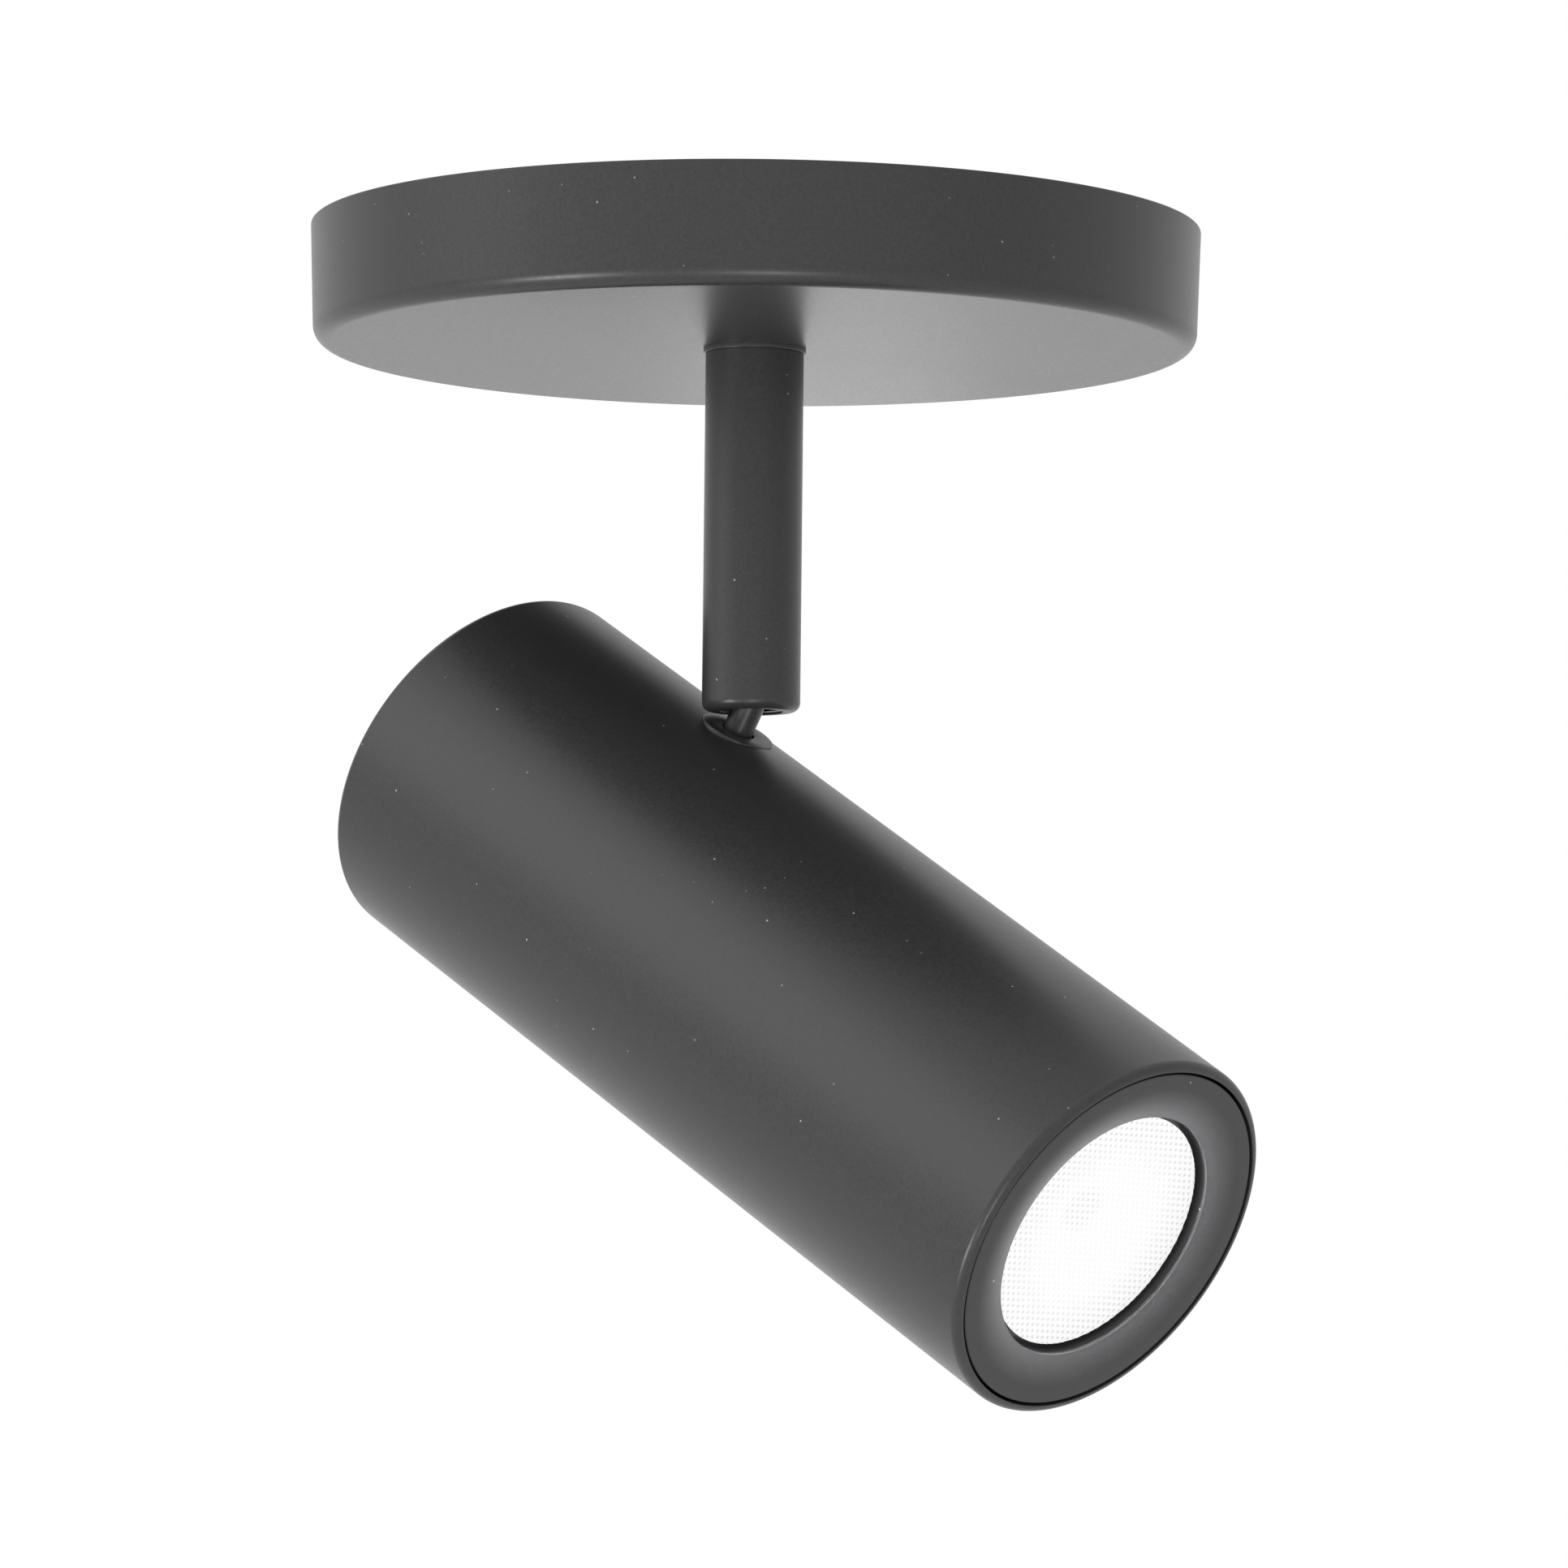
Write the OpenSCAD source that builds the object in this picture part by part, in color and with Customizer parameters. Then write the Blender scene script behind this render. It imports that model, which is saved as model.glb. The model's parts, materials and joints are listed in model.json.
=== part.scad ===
// Surface mounted ceiling spotlight: a canopy, a drop stem with a hidden swivel,
// and a cylindrical head. The origin is the centre of the canopy's ceiling plane,
// with +Z up into the ceiling.

/* [Canopy] */
// Diameter of the canopy where it meets the ceiling
canopy_d = 127; // [120:1:150]
// Depth of the canopy below the ceiling
canopy_h = 17; // [15:0.5:24]
// Wall of the pressed canopy
canopy_wall = 1.2; // [0.8:0.1:1.6]
// How much the canopy's radius shrinks from the ceiling to its face
canopy_draft = 0.55; // [0.2:0.05:1]
// Radius of the canopy's lower edge
canopy_edge_r = 2.3; // [1.6:0.1:3.5]

/* [Mounting plate] */
// Thickness of the cross bar
plate_t = 1.6; // [1.2:0.1:2]
// Width of the cross bar
plate_w = 22; // [18:1:26]
// Distance between the two junction-box screws
box_pitch = 88.9; // [82:0.1:92]
// Width of a slot for a junction-box screw
slot_w = 4.8; // [4:0.1:5.5]
// Length of a slot, end to end
slot_len = 12; // [8:0.5:14]
// Diameter of the hole for the house wiring
wire_hole_d = 16; // [13:0.5:18]
// How far the tabs reach below the ceiling
tab_h = 12.5; // [11.5:0.5:13]

/* [Stem] */
// Diameter of the stem
stem_d = 14; // [13.8:0.1:16]
// Distance from the ceiling to the lower end of the stem
stem_drop = 69; // [60:0.5:120]
// Wall of the stem
stem_wall = 1.2; // [1:0.05:1.2]
// Radius of the stem's lower edge
stem_edge_r = 1.3; // [0.8:0.1:1.3]
// Thickness of the ring between canopy and stem
collar_ring_t = 0.7; // [0.5:0.1:1.5]
// How far that ring stands out past the stem
collar_ring_step = 0.3; // [0.1:0.05:1]
// Diameter of the hollow threaded rod in the top of the stem
nipple_d = 8; // [7.6:0.1:8.4]

/* [Swivel] */
// Diameter of the mouth at the lower end of the stem
mouth_d = 8.8; // [8.6:0.1:9.2]
// Thickness of the stem's turned-in lip
lip_t = 1.4; // [1.2:0.1:1.6]
// Height of the tilt pins above the lower end of the stem
pivot_rise = 1.5; // [1.3:0.1:1.7]
// Length of the barrel that turns inside the stem
barrel_len = 12; // [11:0.5:16]
// Diameter of the tilt pins
pin_d = 1.6; // [1.4:0.1:1.7]
// Diameter of the neck
neck_d = 4.4; // [4.2:0.1:4.6]
// Diameter of the neck's bore for the leads
neck_bore_d = 2.4; // [2.3:0.05:2.6]
// Distance from the tilt pins to the top of the head
reach = 4.8; // [4.8:0.1:6.5]
// Tilt of the head below the horizontal
tilt = 31; // [0:1:33]
// Heading of the head about the stem
heading = -42; // [-150:1:150]

/* [Head] */
// Diameter of the head
head_d = 55; // [54:0.5:60]
// Wall of the head's tube
head_wall = 1.3; // [1.3:0.1:1.6]
// Length of the head in front of the neck
head_front = 96.9; // [96:0.1:120]
// Length of the head behind the neck
head_rear = 41.3; // [40:0.1:60]
// Radius of the tube's outer end edges
head_edge_r = 1.2; // [0.8:0.1:1.2]
// Diameter of the flat collar round the neck
neck_collar_d = 10.8; // [10:0.1:12]
// How far the collar stands out of the tube
collar_proud = 0.1; // [0:0.05:0.2]

/* [Trim and lens] */
// How far the trim's face lies behind the end of the tube
trim_inset = 0.1; // [0:0.05:0.8]
// Diameter of the opening in the trim
trim_opening_d = 37.3; // [34:0.1:39]
// Thickness of the trim's face
trim_t = 3.1; // [2.8:0.1:4]
// Depth of the dish that leads from the trim's face into its opening
trim_dish_t = 0.95; // [0.5:0.05:1.2]
// Width of that dish across the face
trim_dish_w = 3.6; // [1:0.1:5]
// Gap round the trim inside the tube
trim_gap = 0.4; // [0.2:0.05:0.6]
// Length of the trim's skirt behind its face
trim_skirt = 10; // [8:0.5:14]
// How far the lens lies behind the edge of the opening
lens_inset = 1.5; // [1:0.1:1.8]
// Thickness of the lens flange
lens_flange_t = 1.6; // [1.2:0.1:2]

/* [Light source] */
// Diameter of the light-emitting surface
emitter_d = 14; // [10:0.5:16]
// Side of the square circuit board
board_w = 24; // [22:0.5:26]
// Number of fins on the heat sink
fin_count = 16; // [12:4:20]
// Thickness of a fin
fin_t = 1.5; // [1.2:0.1:1.8]
// Length of the fins
fin_len = 32; // [24:1:33]
// Thickness of the heat sink's base
sink_base_t = 4; // [3:0.5:6]
// Diameter of the heat sink's core
sink_core_d = 18; // [16.5:0.5:19]

/* [Driver] */
// Length of the driver case
driver_len = 50; // [44:1:52]
// Width of the driver case
driver_w = 26; // [24:1:28]
// Height of the driver case with its lid
driver_h = 20; // [16:1:21]
// Diameter of one lead over its insulation
lead_d = 1; // [0.8:0.05:1.05]

/* [Hidden] */
$fn = 72;
// Overrun of every cut
cut = 1;
// Clearance of a screw or rod in its hole
hole_gap = 0.15;
// Clearance between parts that are screwed or pressed together
seat_gap = 0.03;
// Clearance of a part that turns in another
run_gap = 0.1;
// Clearance of a part that slides into the tube
slide_gap = 0.3;
// Width of a hexagon over its corners, as a share of its width over flats
hex_share = 1 / cos(30);
// Width and depth of a screw's socket, as a share of its head
socket_share = 0.5;

// Canopy
canopy_r = canopy_d / 2;
canopy_face_r = canopy_r - canopy_draft;
canopy_in_r = canopy_face_r - canopy_wall;
canopy_floor_z = canopy_wall - canopy_h;
canopy_wash = canopy_draft / canopy_h;

// Mounting plate and its screws
plate_gap = 0.6;
plate_bend_r = 1;
plate_half = sqrt(pow(canopy_in_r - plate_gap, 2) - pow(plate_w / 2, 2));
grub_d = 4;
grub_len = 6;
grub_sink = 0.3;
grub_z = -canopy_h / 2;
ground_x = -18;
ground_screw_d = 3.4;
ground_head_d = 7;
ground_head_t = 2.2;
terminal_t = 0.8;
terminal_d = 6.6;
crimp_d = 2.2;
crimp_start = ground_head_d * hex_share / 2 + 2 * hole_gap;
crimp_len = 5;

// Stem
stem_r = stem_d / 2;
stem_in_r = stem_r - stem_wall;
stem_top_z = -canopy_h - collar_ring_t;
stem_end_z = -stem_drop;
plug_len = 9;
nipple_bore_d = 5.2;
nipple_into_stem = 7.5;
nipple_above = 1;
washer_d = 16;
washer_t = 1.2;
nut_flats = 13;
nut_t = 4;
bushing_t = 0.8;
bushing_wall = 0.4;

// Swivel
pivot_z = stem_end_z + pivot_rise;
nose_r = mouth_d / 2 - run_gap;
nose_lift = 0.2;
barrel_r = stem_in_r - run_gap;
glide_t = 0.4;
barrel_foot_z = stem_end_z + lip_t + glide_t;
barrel_top_z = stem_end_z + barrel_len;
barrel_bore_d = 5;
fork_w = neck_d + 2 * run_gap;
fork_roof_share = 0.9;
fork_top_z = pivot_z + neck_d * fork_roof_share;
groove_w = 2.4;
groove_depth = 1.4;
groove_rim = 1.7;
groove_z = barrel_top_z - groove_rim - groove_w / 2;
groove_land = 8;
stop_d = 2;
stop_body_d = 3;
stop_heading = 90;
spring_t = 0.8;
spring_bore_d = 7.2;
retainer_len = 4;
retainer_bore_d = 6;
pin_bite = 0.15;
pin_end_r = nose_r - run_gap;

// Head, in its own frame: +X is the aim, +Z points to the neck
head_r = head_d / 2;
tube_r = head_r - head_wall;
collar_top = head_r + collar_proud;
collar_sink = 0.07;
collar_floor = sqrt(pow(head_r, 2) - pow(neck_collar_d / 2, 2)) - collar_sink;
collar_edge = 0.15;
neck_seat = 0.35;
neck_seat_gap = 0.3;
neck_foot = collar_top - neck_seat;
pivot_h = head_r + reach;
neck_foot_chamfer = 0.25;
spigot_d = 3.6;
saddle_d = 9.5;
saddle_top_r = tube_r - seat_gap;
saddle_t = 1.5;
saddle_foot = tube_r - saddle_t;
spine_t = 1.2;
spine_top = saddle_foot;
spine_foot = spine_top - spine_t;
spine_w = 15;
neck_nut_flats = 7;
neck_nut_t = 2.2;
spigot_end = 0.44;
spigot_foot = spine_foot - neck_nut_t - spigot_end;
cap_inset = 0.8;
cap_t = 1.6;
cap_skirt = 6;
cap_wall = 1.4;
cap_edge = 0.4;
cap_r = tube_r - trim_gap;

// Trim, lens and reflector stations along the aim
trim_face_x = head_front - trim_inset;
trim_back_x = trim_face_x - trim_t;
trim_r = tube_r - trim_gap;
trim_wall = 1.4;
trim_open_r = trim_opening_d / 2;
trim_edge = 0.2;
trim_dish_share = 0.8;
dish_w = min(trim_dish_w, (trim_r - trim_edge - trim_open_r) * trim_dish_share);
lens_boss_gap = 0.8;
lens_boss_r = trim_open_r - lens_boss_gap;
lens_flange_r = trim_r - trim_wall - slide_gap;
lens_face_x = trim_face_x - trim_dish_t - lens_inset;
lens_back_x = trim_back_x - lens_flange_t;
gasket_t = 1;
gasket_w = 2.2;
rim_x = lens_back_x - gasket_t;
rim_t = 1;
rim_r = lens_flange_r;
reflector_t = 0.8;
rim_w = 4.15;
reflector_front_r = rim_r - rim_w - reflector_t;
reflector_len = 24;

// Light source and heat sink, each behind the last along the aim
holder_t = 3.4;
holder_bore_margin = 1.5;
holder_bore_d = emitter_d + 2 * holder_bore_margin;
holder_web = 0.6;
holder_rim = 0.7;
holder_screw_d = 2.5;
holder_head_d = 4.6;
holder_head_t = 1.4;
holder_pitch = board_w + holder_screw_d + 2 * hole_gap + 2 * holder_web;
holder_d = holder_pitch + holder_head_d + 2 * holder_rim;
pad_t = 0.5;
board_t = 1;
reflector_back_x = rim_x - reflector_len;
board_x = reflector_back_x - holder_t;
emitter_x = board_x + board_t;
sink_front_x = board_x - pad_t;
sink_r = tube_r - slide_gap;
sink_back_x = sink_front_x - sink_base_t - fin_len;
sink_core_r = sink_core_d / 2;
fin_root = 0.6;
fin_step = 0.6;
emitter_t = 0.6;
reflector_back_r = holder_bore_d / 2;
reflector_bow_share = 0.34;

// Chassis and driver
foot_t = 1.2;
foot_drop = 9;
foot_x = sink_back_x - foot_t;
foot_bolt_y = 5;
bolt_d = 3;
bolt_head_d = 5.4;
bolt_head_t = 1.3;
bolt_len = 6;
driver_mid_x = (cap_inset + cap_t - head_rear + foot_x - bolt_head_t) / 2;
driver_x = driver_mid_x - driver_len / 2;
standoff_len = 8.2;
driver_top = spine_foot - standoff_len;
driver_lid_t = 2;
driver_edge_r = 2;
standoff_d = 6;
standoff_back = 9;
standoff_front = 5;
standoff_xs = [driver_x + standoff_back, driver_x + driver_len - standoff_front];
block_len = 8;
block_w = 12;
block_h = 5.4;
block_back = 12;
block_x = driver_x + block_back;
block_screw_d = 2;
block_mouth = 3.2;
head_lead_z = driver_top + block_h / 2;

// Leads
lead_r = lead_d / 2;
lead_ring_share = 1.2;
lead_ring_r = lead_r * lead_ring_share;
lead_sides = 8;
lead_bend_r = 3;
lead_stem_foot_z = barrel_top_z - barrel_len / 4;
lead_fold = 30;
connector_d = 8.4;
connector_tip_d = 5.4;
connector_len = 18;
connector_skirt_share = 0.3;
connector_groove_d = 1.6;
connector_start = 16;
connector_heading = 60;
connector_ribs = 8;
connector_z = canopy_floor_z + slide_gap + connector_d / 2;
fin_pitch = 360 / fin_count;
led_lead_aim = 60;
led_lead_turn = fin_pitch * round(led_lead_aim / fin_pitch);
led_lead_r = sink_core_r + slide_gap + lead_d;

// Points of an arc about a centre
function arc(centre, r, from, to, steps = 6) =
    [for (i = [0:steps]) let (a = from + (to - from) * i / steps) centre + r * [cos(a), sin(a)]];

// Places its children in the swivel's frame: the pins lie along Y
module at_swivel() {
    translate([0, 0, pivot_z]) rotate([0, 0, heading]) children();
}

// Places its children in the head's frame
module at_head() {
    translate([0, 0, pivot_z]) rotate([0, tilt, heading]) translate([0, 0, -pivot_h]) children();
}

// Turns a profile of [radius, station] points about the vertical axis
module turned(profile) {
    rotate_extrude() polygon(profile);
}

// Turns a profile of [radius, station] points about the aim
module turned_aim(profile) {
    rotate([0, 90, 0]) turned(profile);
}

// A ring about the vertical axis
module ring(r_out, r_in, foot, top) {
    turned([[r_in, foot], [r_out, foot], [r_out, top], [r_in, top]]);
}

// A six-sided bar about the vertical axis, by its width over flats
module hex_bar(flats, len) {
    cylinder(d = flats * hex_share, h = len, $fn = 6);
}

// A socket screw that stands along +Z, with its head above the origin
module socket_screw(d, len, head_d, head_t) {
    difference() {
        union() {
            translate([0, 0, -len]) cylinder(d = d, h = len);
            cylinder(d = head_d, h = head_t);
        }
        translate([0, 0, head_t * socket_share]) hex_bar(head_d * socket_share, head_t);
    }
}

// A round lead along a flat path of [outwards, up] points
module lead(path) {
    last = len(path) - 1;
    function way(i) =
        let (step = path[min(i + 1, last)] - path[max(i - 1, 0)]) step / norm(step);
    points = [
        for (i = [0:last], k = [0:lead_sides - 1])
            let (w = way(i), a = 360 * k / lead_sides)
            [path[i][0] - w[1] * lead_r * cos(a), lead_r * sin(a), path[i][1] + w[0] * lead_r * cos(a)]
    ];
    sides = [
        for (i = [0:last - 1], k = [0:lead_sides - 1])
            let (a = i * lead_sides + k, b = i * lead_sides + (k + 1) % lead_sides)
            [a, b, b + lead_sides, a + lead_sides]
    ];
    first_end = [for (k = [lead_sides - 1:-1:0]) k];
    last_end = [for (k = [0:lead_sides - 1]) last * lead_sides + k];
    polyhedron(points, concat([first_end], sides, [last_end]));
}

// Canopy

module canopy_shell() {
    foot = -canopy_h;
    edge_z = foot + canopy_edge_r;
    bend_r = canopy_edge_r - canopy_wall;
    hole_r = nipple_d / 2 + hole_gap;
    side_foot_r = canopy_r - canopy_wash * (canopy_h - canopy_edge_r);
    profile = concat(
        [[canopy_r - canopy_wall, 0], [canopy_r, 0]],
        arc([side_foot_r - canopy_edge_r, edge_z], canopy_edge_r, 0, -90, 8),
        [[hole_r, foot], [hole_r, canopy_floor_z]],
        arc([side_foot_r - canopy_edge_r, edge_z], bend_r, -90, 0, 6)
    );
    color("#2b2b2c")
        difference() {
            turned(profile);
            for (side = [0, 180])
                rotate([0, 0, side]) translate([canopy_in_r - cut, 0, grub_z]) rotate([0, 90, 0])
                    cylinder(d = grub_d + 2 * hole_gap, h = canopy_wall + canopy_draft + 2 * cut);
        }
}

// A slot through the plate, centred on the origin
module plate_slot() {
    run = slot_len - slot_w;
    translate([0, 0, -plate_t - cut])
        linear_extrude(plate_t + 2 * cut)
            union() {
                square([run, slot_w], center = true);
                for (side = [-1, 1]) translate([side * run / 2, 0]) circle(d = slot_w);
            }
}

module mounting_plate() {
    bend_out = plate_bend_r + plate_t;
    side_view = concat(
        [[-plate_half, -tab_h]],
        arc([bend_out - plate_half, -bend_out], bend_out, 180, 90),
        arc([plate_half - bend_out, -bend_out], bend_out, 90, 0),
        [[plate_half, -tab_h], [plate_half - plate_t, -tab_h]],
        arc([plate_half - bend_out, -bend_out], plate_bend_r, 0, 90),
        arc([bend_out - plate_half, -bend_out], plate_bend_r, 90, 180),
        [[plate_t - plate_half, -tab_h]]
    );
    color("#b9bcc0")
        difference() {
            translate([0, plate_w / 2, 0]) rotate([90, 0, 0]) linear_extrude(plate_w) polygon(side_view);
            for (side = [-1, 1]) translate([side * box_pitch / 2, 0, 0]) plate_slot();
            translate([0, 0, -plate_t - cut]) cylinder(d = wire_hole_d, h = plate_t + 2 * cut);
            translate([ground_x, 0, -plate_t - cut])
                cylinder(d = ground_screw_d + 2 * seat_gap, h = plate_t + 2 * cut);
            translate([-plate_half - cut, 0, grub_z]) rotate([0, 90, 0])
                cylinder(d = grub_d + 2 * seat_gap, h = 2 * (plate_half + cut));
        }
}

module canopy_screws() {
    outer = canopy_r + canopy_wash * grub_z - grub_sink;
    color("#1f1f20")
        for (side = [0, 180])
            rotate([0, 0, side]) translate([outer - grub_len, 0, grub_z]) rotate([0, 90, 0])
                difference() {
                    cylinder(d = grub_d, h = grub_len);
                    translate([0, 0, grub_len * socket_share]) hex_bar(grub_d * socket_share, grub_len);
                }
}

module ground_screw() {
    shank = plate_t + terminal_t;
    driver_slot_w = ground_screw_d / 4;
    color("#3f8f4d")
        translate([ground_x, 0, -shank]) mirror([0, 0, 1])
            difference() {
                union() {
                    translate([0, 0, -shank]) cylinder(d = ground_screw_d, h = shank);
                    hex_bar(ground_head_d, ground_head_t);
                }
                translate([0, 0, ground_head_t * socket_share])
                    linear_extrude(ground_head_t) square([ground_head_d * 2, driver_slot_w], center = true);
            }
}

module ground_terminal() {
    hole_r = ground_screw_d / 2 + seat_gap;
    color("#c9ccd0")
        translate([ground_x, 0, -plate_t]) {
            difference() {
                union() {
                    translate([0, 0, -terminal_t]) cylinder(d = terminal_d, h = terminal_t);
                    translate([0, -crimp_d / 2, -terminal_t]) cube([crimp_start, crimp_d, terminal_t]);
                    translate([crimp_start, 0, -crimp_d / 2]) rotate([0, 90, 0])
                        cylinder(d = crimp_d, h = crimp_len);
                }
                translate([0, 0, -terminal_t - cut]) cylinder(r = hole_r, h = terminal_t + 2 * cut);
                translate([crimp_start + crimp_len / 2, 0, -crimp_d / 2]) rotate([0, 90, 0])
                    cylinder(d = lead_d + 2 * seat_gap, h = crimp_len);
            }
        }
}

// Stem

module stem_collar() {
    color("#2b2b2c")
        ring(stem_r + collar_ring_step, nipple_d / 2 + hole_gap, stem_top_z, -canopy_h);
}

module stem_nipple() {
    top = canopy_floor_z + washer_t + nut_t + nipple_above;
    color("#c7a34a")
        ring(nipple_d / 2, nipple_bore_d / 2, stem_top_z - nipple_into_stem, top);
}

module nipple_bushing() {
    seat = canopy_floor_z + washer_t + nut_t + nipple_above;
    sleeve_r = nipple_bore_d / 2 - seat_gap;
    bore_r = sleeve_r - bushing_wall;
    sleeve_foot = seat - nut_t;
    color("#e6e4dc")
        turned([
            [bore_r, sleeve_foot], [sleeve_r, sleeve_foot], [sleeve_r, seat],
            [nipple_d / 2, seat], [nipple_d / 2, seat + bushing_t], [bore_r, seat + bushing_t]
        ]);
}

module nipple_washer() {
    color("#c9ccd0")
        ring(washer_d / 2, nipple_d / 2 + hole_gap, canopy_floor_z, canopy_floor_z + washer_t);
}

module nipple_nut() {
    color("#c7a34a")
        translate([0, 0, canopy_floor_z + washer_t])
            difference() {
                hex_bar(nut_flats, nut_t);
                translate([0, 0, -cut]) cylinder(d = nipple_d + 2 * seat_gap, h = nut_t + 2 * cut);
            }
}

module stem_plug() {
    color("#c7a34a")
        ring(stem_in_r - seat_gap, nipple_d / 2 + seat_gap, stem_top_z - plug_len, stem_top_z);
}

module stem_tube() {
    profile = concat(
        [[stem_in_r, stem_top_z], [stem_in_r, stem_end_z + lip_t], [mouth_d / 2, stem_end_z + lip_t]],
        [[mouth_d / 2, stem_end_z]],
        arc([stem_r - stem_edge_r, stem_end_z + stem_edge_r], stem_edge_r, -90, 0, 8),
        [[stem_r, stem_top_z]]
    );
    color("#2b2b2c")
        difference() {
            turned(profile);
            rotate([0, 0, stop_heading]) translate([0, 0, groove_z]) rotate([0, 90, 0])
                cylinder(d = stop_body_d + 2 * seat_gap, h = stem_r + cut);
        }
}

module pan_retainer() {
    foot = barrel_top_z + spring_t + run_gap;
    color("#c7a34a")
        ring(stem_in_r - seat_gap, retainer_bore_d / 2, foot, foot + retainer_len);
}

module friction_washer() {
    foot = barrel_top_z + run_gap;
    color("#c9ccd0")
        ring(barrel_r, spring_bore_d / 2, foot, foot + spring_t - seat_gap);
}

module stop_screw() {
    tip_r = barrel_r - groove_depth + run_gap;
    color("#1f1f20")
        rotate([0, 0, stop_heading]) translate([0, 0, groove_z]) rotate([0, 90, 0])
            difference() {
                union() {
                    translate([0, 0, tip_r]) cylinder(d = stop_d, h = stem_in_r - tip_r);
                    translate([0, 0, stem_in_r])
                        cylinder(d = stop_body_d, h = stem_wall - grub_sink / 2);
                }
                translate([0, 0, stem_in_r]) hex_bar(stop_body_d * socket_share, stem_wall);
            }
}

// Path of a lead from the stem over the nipple's end and down to a connector
function supply_path() =
    let (
        top_z = canopy_floor_z + washer_t + nut_t + nipple_above + bushing_t,
        over = lead_ring_r + lead_bend_r,
        crown = arc([over, top_z], lead_bend_r, 180, 90 - lead_fold, 8),
        crown_end = crown[len(crown) - 1],
        floor_arc_z = connector_z + lead_bend_r,
        fall = crown_end[1] - (floor_arc_z - lead_bend_r * cos(lead_fold)),
        foot_x = crown_end[0] + fall / tan(lead_fold),
        landing_x = foot_x + lead_bend_r * sin(lead_fold),
        landing = arc([landing_x, floor_arc_z], lead_bend_r, 270 - lead_fold, 270, 4),
        end_x = connector_start + connector_len / 4
    )
    concat([[lead_ring_r, lead_stem_foot_z]], crown, landing, [[end_x, connector_z]]);

module lead_live() {
    color("#1c1c1e") rotate([0, 0, connector_heading]) lead(supply_path());
}

module lead_neutral() {
    color("#e9e8e4") rotate([0, 0, -connector_heading]) lead(supply_path());
}

module lead_ground() {
    run_z = -plate_t - crimp_d / 2;
    over = lead_ring_r + lead_bend_r;
    end = -ground_x - crimp_start - crimp_len / 2 - seat_gap;
    path = concat(
        [[lead_ring_r, lead_stem_foot_z]],
        arc([over, run_z - lead_bend_r], lead_bend_r, 180, 90, 6),
        [[end, run_z]]
    );
    color("#3f8f4d") rotate([0, 0, 180]) lead(path);
}

module lead_connectors() {
    skirt = connector_len * connector_skirt_share;
    color("#c8662a")
        for (side = [-1, 1])
            rotate([0, 0, side * connector_heading]) translate([connector_start, 0, connector_z])
                rotate([0, 90, 0])
                    difference() {
                        turned([
                            [0, 0], [connector_d / 2, 0], [connector_d / 2, skirt],
                            [connector_tip_d / 2, connector_len], [0, connector_len]
                        ]);
                        translate([0, 0, -cut])
                            cylinder(d = lead_d + 2 * seat_gap, h = connector_len / 4 + cut + seat_gap);
                        for (i = [0:connector_ribs - 1])
                            rotate([0, 0, i * 360 / connector_ribs])
                                translate([connector_d / 2, 0, skirt + connector_groove_d])
                                    cylinder(d = connector_groove_d, h = connector_len);
                    }
}

// Swivel

module swivel_washer() {
    color("#e6e4dc")
        ring(barrel_r, mouth_d / 2, stem_end_z + lip_t, barrel_foot_z - seat_gap);
}

module swivel_barrel() {
    nose_foot = stem_end_z + nose_lift;
    profile = [
        [0, nose_foot], [nose_r, nose_foot], [nose_r, barrel_foot_z],
        [barrel_r, barrel_foot_z], [barrel_r, barrel_top_z], [0, barrel_top_z]
    ];
    color("#3a3a3c")
        rotate([0, 0, heading])
            difference() {
                turned(profile);
                translate([0, 0, pivot_z]) cylinder(d = barrel_bore_d, h = barrel_len);
                translate([-barrel_r - cut, -fork_w / 2, nose_foot - cut])
                    cube([2 * (barrel_r + cut), fork_w, fork_top_z - nose_foot + cut]);
                translate([0, barrel_r + cut, pivot_z]) rotate([90, 0, 0])
                    cylinder(d = pin_d, h = 2 * (barrel_r + cut));
                rotate([0, 0, stop_heading - heading + 180 + groove_land / 2])
                    rotate_extrude(angle = 360 - groove_land)
                        translate([barrel_r - groove_depth, groove_z - groove_w / 2])
                            square([groove_depth + cut, groove_w]);
            }
}

module pivot_pins() {
    start = neck_bore_d / 2 + pin_bite;
    color("#c9ccd0")
        at_swivel()
            for (side = [0, 180])
                rotate([0, 0, side]) translate([0, start, 0]) rotate([-90, 0, 0])
                    cylinder(d = pin_d, h = pin_end_r - start);
}

// Neck

module neck_post() {
    neck_r = neck_d / 2;
    color("#2b2b2c")
        at_head()
            difference() {
                union() {
                    turned([
                        [0, spigot_foot], [spigot_d / 2, spigot_foot], [spigot_d / 2, neck_foot],
                        [neck_r - neck_foot_chamfer, neck_foot], [neck_r, neck_foot + neck_foot_chamfer],
                        [neck_r, pivot_h], [0, pivot_h]
                    ]);
                    translate([0, 0, pivot_h]) sphere(r = neck_r);
                }
                translate([0, 0, spigot_foot - cut])
                    cylinder(d = neck_bore_d, h = pivot_h - spigot_foot + neck_d);
                translate([0, neck_r + cut, pivot_h]) rotate([90, 0, 0])
                    cylinder(d = pin_d + run_gap, h = 2 * (neck_r + cut));
            }
}

module neck_collar() {
    r = neck_collar_d / 2;
    bore = spigot_d / 2 + seat_gap;
    recess = neck_d / 2 + neck_seat_gap;
    seat = neck_foot - seat_gap;
    color("#2b2b2c")
        at_head()
            turned([
                [bore, collar_floor], [r, collar_floor], [r, collar_top - collar_edge],
                [r - collar_edge, collar_top], [recess, collar_top], [recess, seat], [bore, seat]
            ]);
}

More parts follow.
